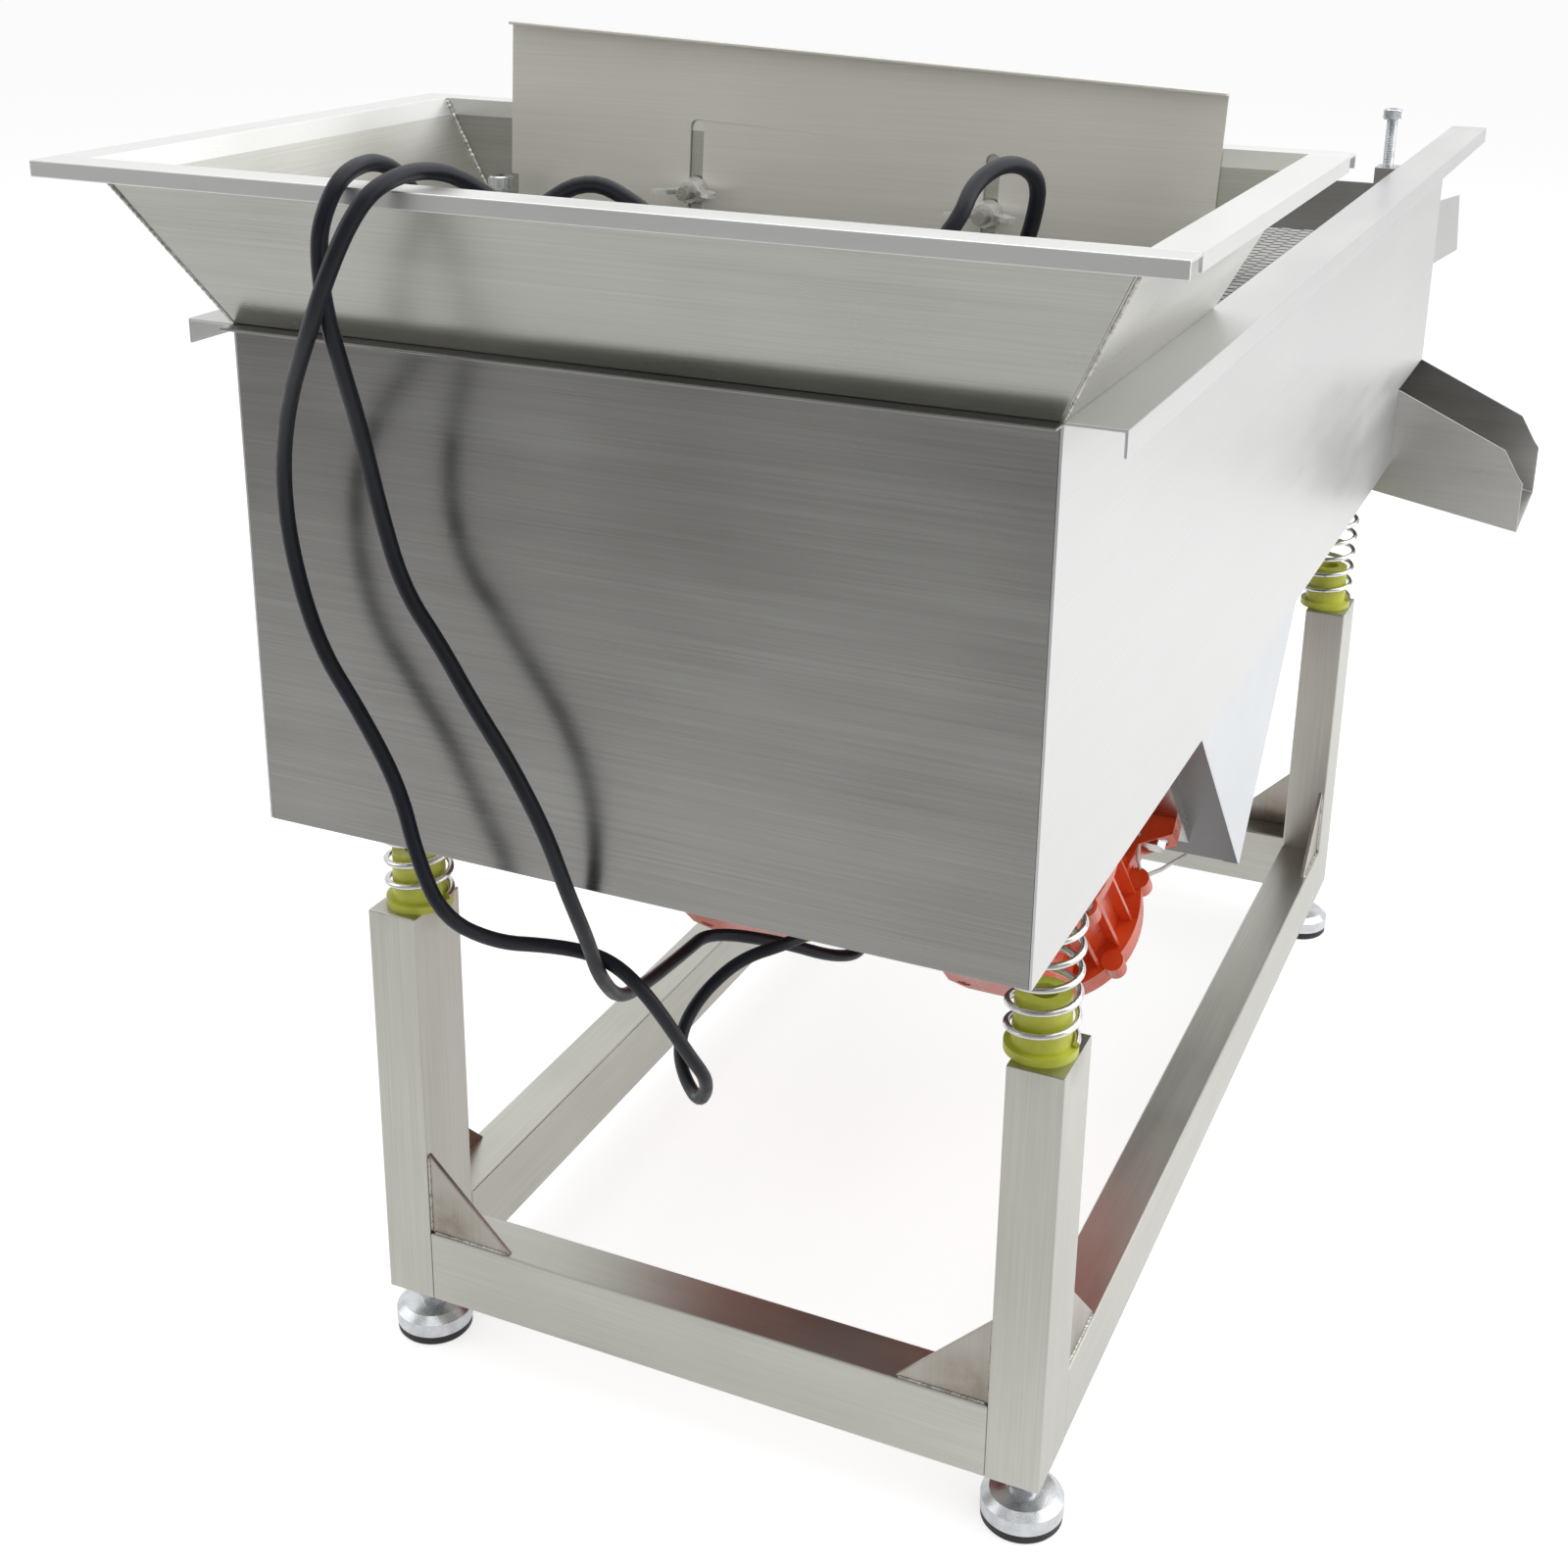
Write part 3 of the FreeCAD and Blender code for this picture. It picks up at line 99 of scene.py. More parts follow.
class Shader:
    """One procedural material and the short ways to build it."""

    def __init__(self, name):
        self.material = bpy.data.materials.new(name)
        self.material.use_nodes = True
        self.tree = self.material.node_tree
        self.add = node_adder(self.tree)
        self.surface = self.tree.nodes["Principled BSDF"]
        self.place = self.add("ShaderNodeTexCoord").outputs["Object"]

    def set(self, **values):
        for key, value in values.items():
            self.surface.inputs[key.replace("_", " ")].default_value = value
        return self

    def link(self, socket, name):
        self.tree.links.new(socket, self.surface.inputs[name])

    def stretched(self, frequency, detail=3.0, rough=0.55):
        """Noise whose cells are as wide as one over the frequency, in metres, per axis."""
        scaled = self.add("ShaderNodeMapping", {"Vector": self.place, "Scale": frequency})
        return self.add("ShaderNodeTexNoise", {
            "Vector": scaled.outputs[0], "Scale": 1.0, "Detail": detail,
            "Roughness": rough}).outputs[0]

    def ramp(self, value, low, high, low_colour, high_colour):
        ramp = self.add("ShaderNodeValToRGB", {0: value})
        ends = ramp.color_ramp.elements
        ends[0].position, ends[1].position = low, high
        ends[0].color = (*low_colour, 1)
        ends[1].color = (*high_colour, 1)
        return ramp.outputs[0]

    def mix(self, factor, one, two, how="MIX"):
        node = self.add("ShaderNodeMix", {0: factor}, data_type="RGBA", blend_type=how)
        for socket, value in ((node.inputs[6], one), (node.inputs[7], two)):
            if isinstance(value, bpy.types.NodeSocket):
                self.tree.links.new(value, socket)
            else:
                socket.default_value = (*value, 1)
        return node.outputs[2]

    def between(self, value, low, high):
        """The middle of a noise spread over a range of numbers."""
        return self.add("ShaderNodeMapRange", {
            0: value, 1: 0.3, 2: 0.7, 3: low, 4: high}).outputs[0]

    def heat_mark(self, colour, spot, reach):
        """A brown cloud round a welded corner, repeated at the mirrored corners."""
        mirrored = self.add("ShaderNodeVectorMath", {0: self.place}, operation="ABSOLUTE")
        apart = self.add("ShaderNodeVectorMath", {0: mirrored.outputs[0], 1: spot},
                         operation="DISTANCE")
        near = self.add("ShaderNodeMapRange", {
            0: apart.outputs["Value"], 1: reach, 2: reach * 0.2, 3: 0.0, 4: 0.95})
        cloudy = self.add("ShaderNodeMath", {0: near.outputs[0], 1: self.stretched((70, 70, 70))},
                          operation="MULTIPLY")
        return self.mix(cloudy.outputs[0], colour, HEAT_BROWN)

    def bump(self, height, strength, distance):
        node = self.add("ShaderNodeBump", {
            "Height": height, "Strength": strength, "Distance": distance})
        self.link(node.outputs[0], "Normal")


# the height above which the hopper's rim gets a painted highlight, and the colour of that
# highlight
RIM_LEVEL, RIM_PAINTED_HIGHLIGHT = 0.932, (0.80, 0.80, 0.78)
LINES, BANDS = (900.0, 7.0), (30.0, 3.0)


def grained(grain, frequencies):
    """Frequencies per axis, from one across the grain and one along it."""
    across, lengthwise = frequencies
    return [lengthwise if axis == grain else across for axis in "xyz"]


def steel(name, grain, dark, light, rough, depth=0.15, marks=(), metallic=1.0, painted_rim_highlight=False):
    """Brushed steel: fine lines along one axis, broad patches, and where they are asked
    for, heat marks at welds and a painted highlight: a lighter colour above the rim level."""
    made = Shader(name)
    lines = made.stretched(grained(grain, LINES), 4, 0.6)
    bands = made.stretched(grained(grain, BANDS), 3)
    patches = made.stretched((5, 5, 5), 2)
    tone = made.mix(0.45, made.ramp(lines, 0.3, 0.7, dark, light),
                    made.ramp(bands, 0.3, 0.7, dark, light))
    tone = made.mix(0.3, tone, made.ramp(patches, 0.35, 0.65, dark, light))
    for spot, reach in marks:
        tone = made.heat_mark(tone, spot, reach)
    # painted highlight along the rim: a lighter colour above a set height
    if painted_rim_highlight:
        height = made.add("ShaderNodeSeparateXYZ", {0: made.place}).outputs[2]
        above = made.add("ShaderNodeMath", {0: height, 1: RIM_LEVEL}, operation="GREATER_THAN")
        tone = made.mix(above.outputs[0], tone, RIM_PAINTED_HIGHLIGHT)
    made.link(tone, "Base Color")
    worn = made.mix(0.5, bands, patches)
    made.link(made.between(worn, rough - 0.06, rough + 0.08), "Roughness")
    made.set(Metallic=metallic)
    made.bump(lines, depth, 0.0003)
    return made.material


FRAME_DARK, FRAME_LIGHT = (0.425, 0.42, 0.38), (0.62, 0.615, 0.57)
POST_MARKS = (((0.247, 0.487, 0.386), 0.034),)
GUSSET_MARKS = (((0.212, 0.512, 0.116), 0.040), ((0.264, 0.440, 0.116), 0.040))
frame_x = steel("frame_brushed_x", "x", FRAME_DARK, FRAME_LIGHT, 0.33)
frame_y = steel("frame_brushed_y", "y", FRAME_DARK, FRAME_LIGHT, 0.33)
frame_z = steel("frame_brushed_z", "z", FRAME_DARK, FRAME_LIGHT, 0.33, marks=POST_MARKS)
gusset_steel = steel("gusset_plate", "z", (0.33, 0.31, 0.27), (0.53, 0.50, 0.45), 0.3,
                     marks=GUSSET_MARKS)
SHEET_DARK, SHEET_LIGHT = (0.42, 0.415, 0.40), (0.60, 0.595, 0.58)
box_x = steel("sheet_brushed_x", "x", SHEET_DARK, SHEET_LIGHT, 0.3)
box_y = steel("sheet_brushed_y", "y", SHEET_DARK, SHEET_LIGHT, 0.3)
box_z = steel("sheet_brushed_z", "z", SHEET_DARK, SHEET_LIGHT, 0.3)
# front and side panels are one steel sheet in shaded and lit copies: darker painted shade on the
# front panel, near-white painted light on the side panels
front_sheet_painted_shade = steel("front_sheet_painted_shade", "x", (0.27, 0.265, 0.25), (0.43, 0.425, 0.41), 0.27)
side_sheet_painted_light = steel("side_sheet_painted_light", "y", (0.615, 0.615, 0.61), (0.695, 0.695, 0.69), 0.36, 0.03)
# the hopper's walls are one steel sheet in two copies: the side walls take a lighter, less
# metallic copy, painted light; the front and rear walls take the darker copy
hopper_x = steel("hopper_sheet_x", "x", (0.40, 0.40, 0.365), (0.58, 0.58, 0.54), 0.3,
                 metallic=0.85, painted_rim_highlight=True)
hopper_y_painted_light = steel("hopper_sheet_y_painted_light", "y", (0.52, 0.515, 0.48), (0.72, 0.715, 0.67), 0.3,
                 metallic=0.75, painted_rim_highlight=True)
# the gate plate is stainless steel; its pale beige colour at low metallic is a painted reflection
# of bright surroundings
gate_sheet = steel("gate_sheet", "x", (0.72, 0.70, 0.64), (0.87, 0.85, 0.79), 0.34, 0.1,
                   metallic=0.3)
deck_steel = steel("deck_sheet", "x", (0.34, 0.335, 0.32), (0.52, 0.515, 0.50), 0.34)


def funnel_painted_light_material():
    """Funnel sheet with painted light and shade picked by which way a face turns: pale, bluish
    painted light on the sides of the funnel, painted shade on its sloping walls.
    """
    made = Shader("funnel_sheet_painted_light")
    patches = made.stretched((9, 9, 9), 3)
    normal = made.add("ShaderNodeSeparateXYZ", {
        0: made.add("ShaderNodeNewGeometry").outputs["Normal"]})
    sideways = made.add("ShaderNodeMath", {0: normal.outputs[0]}, operation="ABSOLUTE")
    # painted shade: the sloping walls darker; painted light: the sides paler and bluish
    slope = made.ramp(patches, 0.3, 0.7, (0.13, 0.128, 0.13), (0.20, 0.198, 0.20))
    flank_painted_light = made.ramp(patches, 0.3, 0.7, (0.60, 0.62, 0.64), (0.69, 0.71, 0.73))
    made.link(made.mix(sideways.outputs[0], slope, flank_painted_light), "Base Color")
    made.link(made.between(patches, 0.32, 0.46), "Roughness")
    made.set(Metallic=1.0)
    made.bump(made.stretched((500, 500, 500), 3), 0.06, 0.0003)
    return made.material


funnel_steel_painted_light = funnel_painted_light_material()


def plain_metal(name, dark, light, rough, scale, depth, metallic=1.0):
    """Metal with an even, fine grain."""
    made = Shader(name)
    cells = made.stretched((scale,) * 3, 3)
    made.link(made.ramp(cells, 0.3, 0.7, dark, light), "Base Color")
    made.link(made.between(cells, rough - 0.05, rough + 0.07), "Roughness")
    made.set(Metallic=metallic)
    made.bump(made.stretched((scale * 6,) * 3, 2), depth, 0.0003)
    return made.material


chrome = plain_metal("spring_chrome", (0.62, 0.61, 0.59), (0.80, 0.79, 0.77), 0.16, 60, 0.08)
zinc = plain_metal("zinc_plate", (0.55, 0.57, 0.60), (0.74, 0.76, 0.78), 0.27, 110, 0.2)
cast_zinc = plain_metal("cast_wing", (0.66, 0.66, 0.64), (0.84, 0.84, 0.82), 0.3, 130, 0.25, 0.7)
weld_metal = plain_metal("weld_bead", (0.30, 0.28, 0.25), (0.70, 0.68, 0.64), 0.3, 240, 0.3)
iron = plain_metal("machined_iron", (0.22, 0.21, 0.20), (0.38, 0.37, 0.35), 0.42, 80, 0.4)


def soft_plastic(name, dark, light, rough, scale, depth, **more):
    """Plastic or rubber with a fine grain."""
    made = Shader(name)
    cells = made.stretched((scale,) * 3, 3)
    made.link(made.ramp(cells, 0.3, 0.7, dark, light), "Base Color")
    made.link(made.between(cells, rough - 0.06, rough + 0.08), "Roughness")
    made.set(**more)
    made.bump(made.stretched((scale * 8,) * 3, 2), depth, 0.0004)
    return made.material


seat_green = soft_plastic("polyurethane", (0.58, 0.61, 0.05), (0.76, 0.79, 0.11), 0.34, 35, 0.15)
rubber = soft_plastic("black_rubber", (0.012, 0.012, 0.013), (0.028, 0.028, 0.030), 0.5, 120, 0.5)
sheath = soft_plastic("cable_sheath", (0.0045, 0.006, 0.011), (0.009, 0.012, 0.021), 0.40, 90, 0.1,
                      Specular_IOR_Level=0.32)
white_nylon = soft_plastic("white_nylon", (0.72, 0.72, 0.70), (0.84, 0.84, 0.82), 0.4, 90, 0.1)
gland_black = soft_plastic("gland_plastic", (0.012, 0.012, 0.013), (0.03, 0.03, 0.03), 0.4, 100,
                           0.3)

RED_DARK, RED_LIGHT = (0.72, 0.070, 0.014), (0.88, 0.120, 0.028)


def enamel():
    """Orange-red paint over a cast surface."""
    made = Shader("cast_enamel")
    cells = made.stretched((38, 38, 38), 4)
    made.link(made.ramp(cells, 0.3, 0.72, RED_DARK, RED_LIGHT), "Base Color")
    made.link(made.between(cells, 0.24, 0.42), "Roughness")
    made.set(Coat_Weight=0.25, Coat_Roughness=0.12)
    made.bump(made.stretched((260, 260, 260), 4, 0.6), 0.35, 0.0008)
    return made.material


red = enamel()


def paint_node(names, material):
    """Gives CAD pieces, named with spaces between, one material."""
    for name in names.split():
        mesh = nodes[name].data
        mesh.materials.clear()
        mesh.materials.append(material)


paint_node("rail_front rail_rear", frame_x)
paint_node("rail_left rail_right", frame_y)
paint_node("post_front_left post_front_right post_rear_left post_rear_right", frame_z)
paint_node("frame_gussets", gusset_steel)
paint_node("front_panel", front_sheet_painted_shade)
paint_node("side_panel_left side_panel_right", side_sheet_painted_light)
paint_node("hopper_front hopper_rear", hopper_x)
paint_node("hopper_left hopper_right", hopper_y_painted_light)
paint_node("gate_plate", gate_sheet)
paint_node("fines_funnel", funnel_steel_painted_light)
paint_node("rear_panel cross_plate motor_plate side_chute spring_brackets", box_x)
paint_node("rear_chute pan_floor", box_y)
paint_node("upper_deck lower_deck deck_bars", deck_steel)
paint_node("clamp_bosses", box_z)
paint_node("springs", chrome)
paint_node("lower_seats upper_seats", seat_green)
paint_node("foot_locknuts foot_bolts", zinc)
paint_node("wing_nut_left wing_nut_right", cast_zinc)
for corner in CORNER_SIGNS:
    paint_node("foot_" + corner, zinc)
    paint_node("clamp_screw_" + corner, zinc)
    paint_node("foot_pad_" + corner, rubber)
paint_node("motor_housing_left motor_housing_right terminal_lids", red)
paint_node("motor_covers_left motor_covers_right", red)
paint_node("cable_glands", gland_black)
paint_node("motor_rotor_left motor_rotor_right", iron)


MERGE_WITHIN = 0.00002
FLAT_WITHIN, SHARP_FROM = math.radians(0.6), math.radians(40)


def soften(names, width, segments=2):
    """Small rounds on the sharp edges of CAD pieces."""
    for name in names.split():
        piece = nodes[name]
        weld = piece.modifiers.new("weld", "WELD")
        weld.merge_threshold = MERGE_WITHIN
        flat = piece.modifiers.new("flat", "DECIMATE")
        flat.decimate_type = "DISSOLVE"
        flat.angle_limit = FLAT_WITHIN
        edge = piece.modifiers.new("edge", "BEVEL")
        edge.width = width
        edge.segments = segments
        edge.limit_method = "ANGLE"
        edge.angle_limit = SHARP_FROM


soften("rail_front rail_rear rail_left rail_right", 0.002, 3)
soften("post_front_left post_front_right post_rear_left post_rear_right", 0.002, 3)
soften("front_panel side_panel_left side_panel_right hopper_front hopper_rear", 0.0007)
soften("hopper_left hopper_right gate_plate rear_chute side_chute fines_funnel", 0.0007)
soften("frame_gussets clamp_bosses terminal_lids", 0.0008)
soften("wing_nut_left wing_nut_right", 0.0009, 3)


# ---------------------------------------------------------------- added detail

MOTOR_OFFSET, MOTOR_AWAY, MOTOR_UP = 120, 100, 165
WALL_TIP_Y, WALL_TIP_Z = 60, 273
SLANT = math.sqrt(0.5)


def mirrored_point(place, side, end=1):
    """A place given for the right rear quarter, moved to another quarter."""
    x, y, z = place
    return (x * side, y * end, z)


def on_slope(x, away, up):
    """The tilted frame of the funnel's front wall, off it and up it, in millimetres."""
    place = Vector((x, WALL_TIP_Y - (away + up) * SLANT, WALL_TIP_Z - (away - up) * SLANT))
    return Matrix.Translation(place * MM) @ Matrix.Rotation(math.radians(45), 4, "X")


def add_piece(name, shape, material, body, smooth=False):
    """Makes an object of a bmesh and lets it ride on a body."""
    bmesh.ops.recalc_face_normals(shape, faces=shape.faces)
    mesh = bpy.data.meshes.new(name)
    shape.to_mesh(mesh)
    shape.free()
    mesh.materials.append(material)
    if smooth:
        mesh.shade_smooth()
    piece = bpy.data.objects.new(name, mesh)
    bpy.context.scene.collection.objects.link(piece)
    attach(piece, body)
    return piece


def circle(radius, count, x=0.0, y=0.0):
    """Points round a circle in the local XY plane."""
    turns = [math.tau * k / count for k in range(count)]
    return [(x + radius * math.cos(turn), y + radius * math.sin(turn)) for turn in turns]


def add_prism(shape, outline, low, high, place):
    """A closed prism, its outline in the local XY plane, in millimetres."""
    rings = []
    for level in (low, high):
        rings.append([shape.verts.new(place @ (Vector((x, y, level)) * MM)) for x, y in outline])
    shape.faces.new(rings[0][::-1])
    shape.faces.new(rings[1])
    join_rings(shape, rings)


def add_ring(shape, outer, inner, low, high, place):
    """A prism with a hole through it; both outlines have as many points."""
    rings = []
    for outline, level in ((outer, low), (outer, high), (inner, high), (inner, low), (outer, low)):
        rings.append([shape.verts.new(place @ (Vector((x, y, level)) * MM)) for x, y in outline])
    join_rings(shape, rings)
    bmesh.ops.remove_doubles(shape, verts=rings[0] + rings[-1], dist=0.000001)


def join_rings(shape, rings):
    """Faces between each ring of points and the next."""
    for one, two in zip(rings, rings[1:]):
        count = len(one)
        for k in range(count):
            m = (k + 1) % count
            shape.faces.new((one[k], one[m], two[m], two[k]))


def add_tube(shape, points, radii, sides, reference=Vector((0.13, 0.21, 0.97))):
    """A closed tube through points, in metres, with a radius at each."""
    rings = []
    last = len(points) - 1
    for k, point in enumerate(points):
        ahead = (points[min(k + 1, last)] - points[max(k - 1, 0)]).normalized()
        across = ahead.cross(reference).normalized()
        over = across.cross(ahead)
        ring = []
        for u, v in circle(radii[k], sides):
            ring.append(shape.verts.new(point + across * u + over * v))
        rings.append(ring)
    join_rings(shape, rings)
    shape.faces.new(rings[0][::-1])
    shape.faces.new(rings[-1])


BEAD_STEP, BEAD_WANDER, BEAD_TIP, BEAD_SIDES = 0.9, 0.25, 0.3, 6
THREAD_STEPS, THREAD_RIDGE, THREAD_SIDES = 14, 0.45, 4


def add_bead(shape, start, end, size):
    """A weld bead: ripples of slightly uneven width, in millimetres."""
    start, end = Vector(start) * MM, Vector(end) * MM
    steps = int((end - start).length / (BEAD_STEP * MM))
    points, radii = [], []
    for k in range(steps + 1):
        wander = noise.noise(Vector((k * 0.37, start.x * 31, start.z * 17)))
        ripple = abs(math.sin(k * math.pi / 4))
        aside = Vector((wander, -wander, wander)) * BEAD_WANDER * MM
        points.append(start.lerp(end, k / steps) + aside)
        radii.append(size * MM * (0.78 + 0.22 * ripple + 0.2 * wander))
    radii[0] = radii[-1] = size * MM * BEAD_TIP
    add_tube(shape, points, radii, BEAD_SIDES)


def add_thread(shape, x, y, low, high, radius, pitch):
    """The ridge of a screw thread on an upright stud, in millimetres."""
    steps = int((high - low) / pitch * THREAD_STEPS)
    points = []
    for k in range(steps + 1):
        turn = math.tau * k / THREAD_STEPS
        points.append(Vector((x + radius * math.cos(turn), y + radius * math.sin(turn),
                              low + (high - low) * k / steps)) * MM)
    add_tube(shape, points, [THREAD_RIDGE * MM] * len(points), THREAD_SIDES, Vector((0, 0, 1)))


# start, end and size of the beads on the right side, in millimetres
HOPPER_SEAMS = (((268.7, -613.2, 840), (322.7, -665.0, 942), 1.7),
                ((270.7, -615.0, 840), (325.0, -667.4, 941), 1.3),
                ((268.7, -283.4, 840), (322.7, -283.4, 942), 1.9))
# the same for the gussets of the right rear corner
GUSSET_SEAMS = (((227.3, 513.6, 112), (227.3, 513.6, 178), 1.3),
                ((225, 513.6, 110.2), (160, 513.6, 110.2), 1.3),
                ((264.6, 456.3, 112), (264.6, 456.3, 178), 1.3),
                ((264.6, 454, 110.2), (264.6, 389, 110.2), 1.3))


def weld_seams():
    """Beads at the hopper's corners and along the frame's gussets."""
    hopper, gussets = bmesh.new(), bmesh.new()
    for side in (-1, 1):
        for start, stop, size in HOPPER_SEAMS:
            add_bead(hopper, mirrored_point(start, side), mirrored_point(stop, side), size)
        for end in (-1, 1):
            for start, stop, size in GUSSET_SEAMS:
                add_bead(gussets, mirrored_point(start, side, end),
                         mirrored_point(stop, side, end), size)
    add_piece("hopper_welds", hopper, weld_metal, "box", True)
    add_piece("gusset_welds", gussets, weld_metal, "frame", True)


FOOT_X, FOOT_Y = 247.5, 486.5
CLAMP_X, CLAMP_FRONT_Y, CLAMP_REAR_Y = 258.7, -313, 485
# low, high, radius and pitch of a thread
FOOT_THREAD = (31.6, 41.4, 6.0, 1.75)
CLAMP_THREAD = (839.8, 883.4, 5.0, 1.5)
KNURL_POINTS, KNURL_INNER, KNURL_VALLEY, KNURL_PEAK = 72, 8.5, 8.75, 9.15
KNURL_LOW, KNURL_HIGH = 885.2, 892.4


def screw_details():
    """Threads on the feet and clamp screws, and the knurl of the screws' heads."""
    for corner, (side, end) in CORNER_SIGNS.items():
        foot = bmesh.new()
        add_thread(foot, FOOT_X * side, FOOT_Y * end, *FOOT_THREAD)
        add_piece("foot_thread_" + corner, foot, zinc, "foot_" + corner, True)
        x, y = CLAMP_X * side, (CLAMP_FRONT_Y if end < 0 else CLAMP_REAR_Y)
        screw = bmesh.new()
        add_thread(screw, x, y, *CLAMP_THREAD)
        knurl = []
        for k, (u, v) in enumerate(circle(1, KNURL_POINTS)):
            reach = KNURL_PEAK if k % 2 else KNURL_VALLEY
            knurl.append((u * reach, v * reach))
        add_ring(screw, knurl, circle(KNURL_INNER, KNURL_POINTS), KNURL_LOW, KNURL_HIGH,
                 Matrix.Translation(Vector((x, y, 0)) * MM))
        add_piece("clamp_thread_" + corner, screw, zinc, "clamp_screw_" + corner)


# turns about the motor's axis, in degrees, and sizes in millimetres
RIB_TURNS = (-38, -20, -2, 16, 34)
RIB_OUTLINE = ((66, -2.2), (79, -1.4), (79, 1.4), (66, 2.2))
RIB_REACH = 61
LUG_TURNS = (-30, 24)
LUG_RADIUS, LUG_CIRCLE = 9.5, 83
LUG_SPAN, SCREW_SPAN, SOCKET_SPAN = (58, 80), (79, 86), (79, 82)
SCREW_RADIUS, SOCKET_RADIUS, FLOOR_RADIUS = 6.5, 3.2, 3.3
LID_FACE = -92
LID_SCREWS = ((-38, -31), (38, -31), (38, 31), (-38, 31))
SHARP_EDGE = 0.9


def motor_details(hand, side):
    """Ribs and cover lugs on the casting, cover screws and lid screws."""
    centre = on_slope(MOTOR_OFFSET * side, MOTOR_AWAY, MOTOR_UP)
    casting, screws = bmesh.new(), bmesh.new()

    def spun(turn, mirror):
        angle = mirror - turn if mirror else turn
        return centre @ Matrix.Rotation(math.radians(angle), 4, "Z")

    def span(both, end):
        return sorted(value * end for value in both)

    for mirror in (0, 180):
        for turn in RIB_TURNS:
            add_prism(casting, RIB_OUTLINE, -RIB_REACH, RIB_REACH, spun(turn, mirror))
        for turn in LUG_TURNS:
            place = spun(turn, mirror)
            for end in (-1, 1):
                add_prism(casting, circle(LUG_RADIUS, 20, LUG_CIRCLE), *span(LUG_SPAN, end), place)
                add_ring(screws, circle(SCREW_RADIUS, 24, LUG_CIRCLE),
                         circle(SOCKET_RADIUS, 24, LUG_CIRCLE), *span(SCREW_SPAN, end), place)
                add_prism(screws, circle(FLOOR_RADIUS, 12, LUG_CIRCLE),
                          *span(SOCKET_SPAN, end), place)
    for across, along in LID_SCREWS:
        seat = centre @ Matrix.Translation(Vector((across, LID_FACE, along)) * MM)
        seat = seat @ Matrix.Rotation(math.radians(90), 4, "X")
        add_ring(screws, circle(4.6, 20), circle(2.3, 20), -0.5, 2.8, seat)
        add_prism(screws, circle(2.4, 12), -0.5, 0.8, seat)
    for shape, width in ((casting, 0.9), (screws, 0.3)):
        sharp = [edge for edge in shape.edges
                 if len(edge.link_faces) == 2 and edge.calc_face_angle(0) > SHARP_EDGE]
        bmesh.ops.bevel(shape, geom=sharp, offset=width * MM, segments=2, affect="EDGES")
    add_piece("motor_ribs_" + hand, casting, red, "box")
    add_piece("motor_screws_" + hand, screws, zinc, "box")


EDGE_INNER, EDGE_OUTER, EDGE_BACK, EDGE_FACE = 243, 256.8, -1.8, 0.1
EDGE_LOW, EDGE_HIGH = 4, 440
TIE_TAIL = ((0.190, -0.045, 0.335), (0.193, -0.056, 0.316), (0.1976, -0.0564, 0.3001),
            (0.207, -0.026, 0.2955), (0.2193, 0.0101, 0.2964))
TIE_TAIL_RADII = (0.002, 0.002, 0.002, 0.0018, 0.0012)


def funnel_details():
    """Folded edges along the funnel's front wall and the white tail of a cable tie."""
    edges = bmesh.new()
    for side in (-1, 1):
        low, high = sorted((EDGE_INNER * side, EDGE_OUTER * side))
        outline = ((low, EDGE_BACK), (high, EDGE_BACK), (high, EDGE_FACE), (low, EDGE_FACE))
        add_prism(edges, outline, EDGE_LOW, EDGE_HIGH, on_slope(0, 0, 0))
    add_piece("funnel_edges", edges, funnel_steel_painted_light, "box")
    tail = bmesh.new()
    add_tube(tail, [Vector(place) for place in TIE_TAIL], TIE_TAIL_RADII, 8)
    add_piece("cable_tie_tail", tail, white_nylon, "box", True)


DECK_BORDER = 0.014
SLOT_PITCH = (0.024, 0.009)
SLOT_LONG, SLOT_WIDE = 0.008, 0.0022
# corners of a slot, from its front left round to its left tip, in half lengths and widths
SLOT_CORNERS = ((-0.75, -1), (0.75, -1), (1, 0), (0.75, 1), (-0.75, 1), (-1, 0))


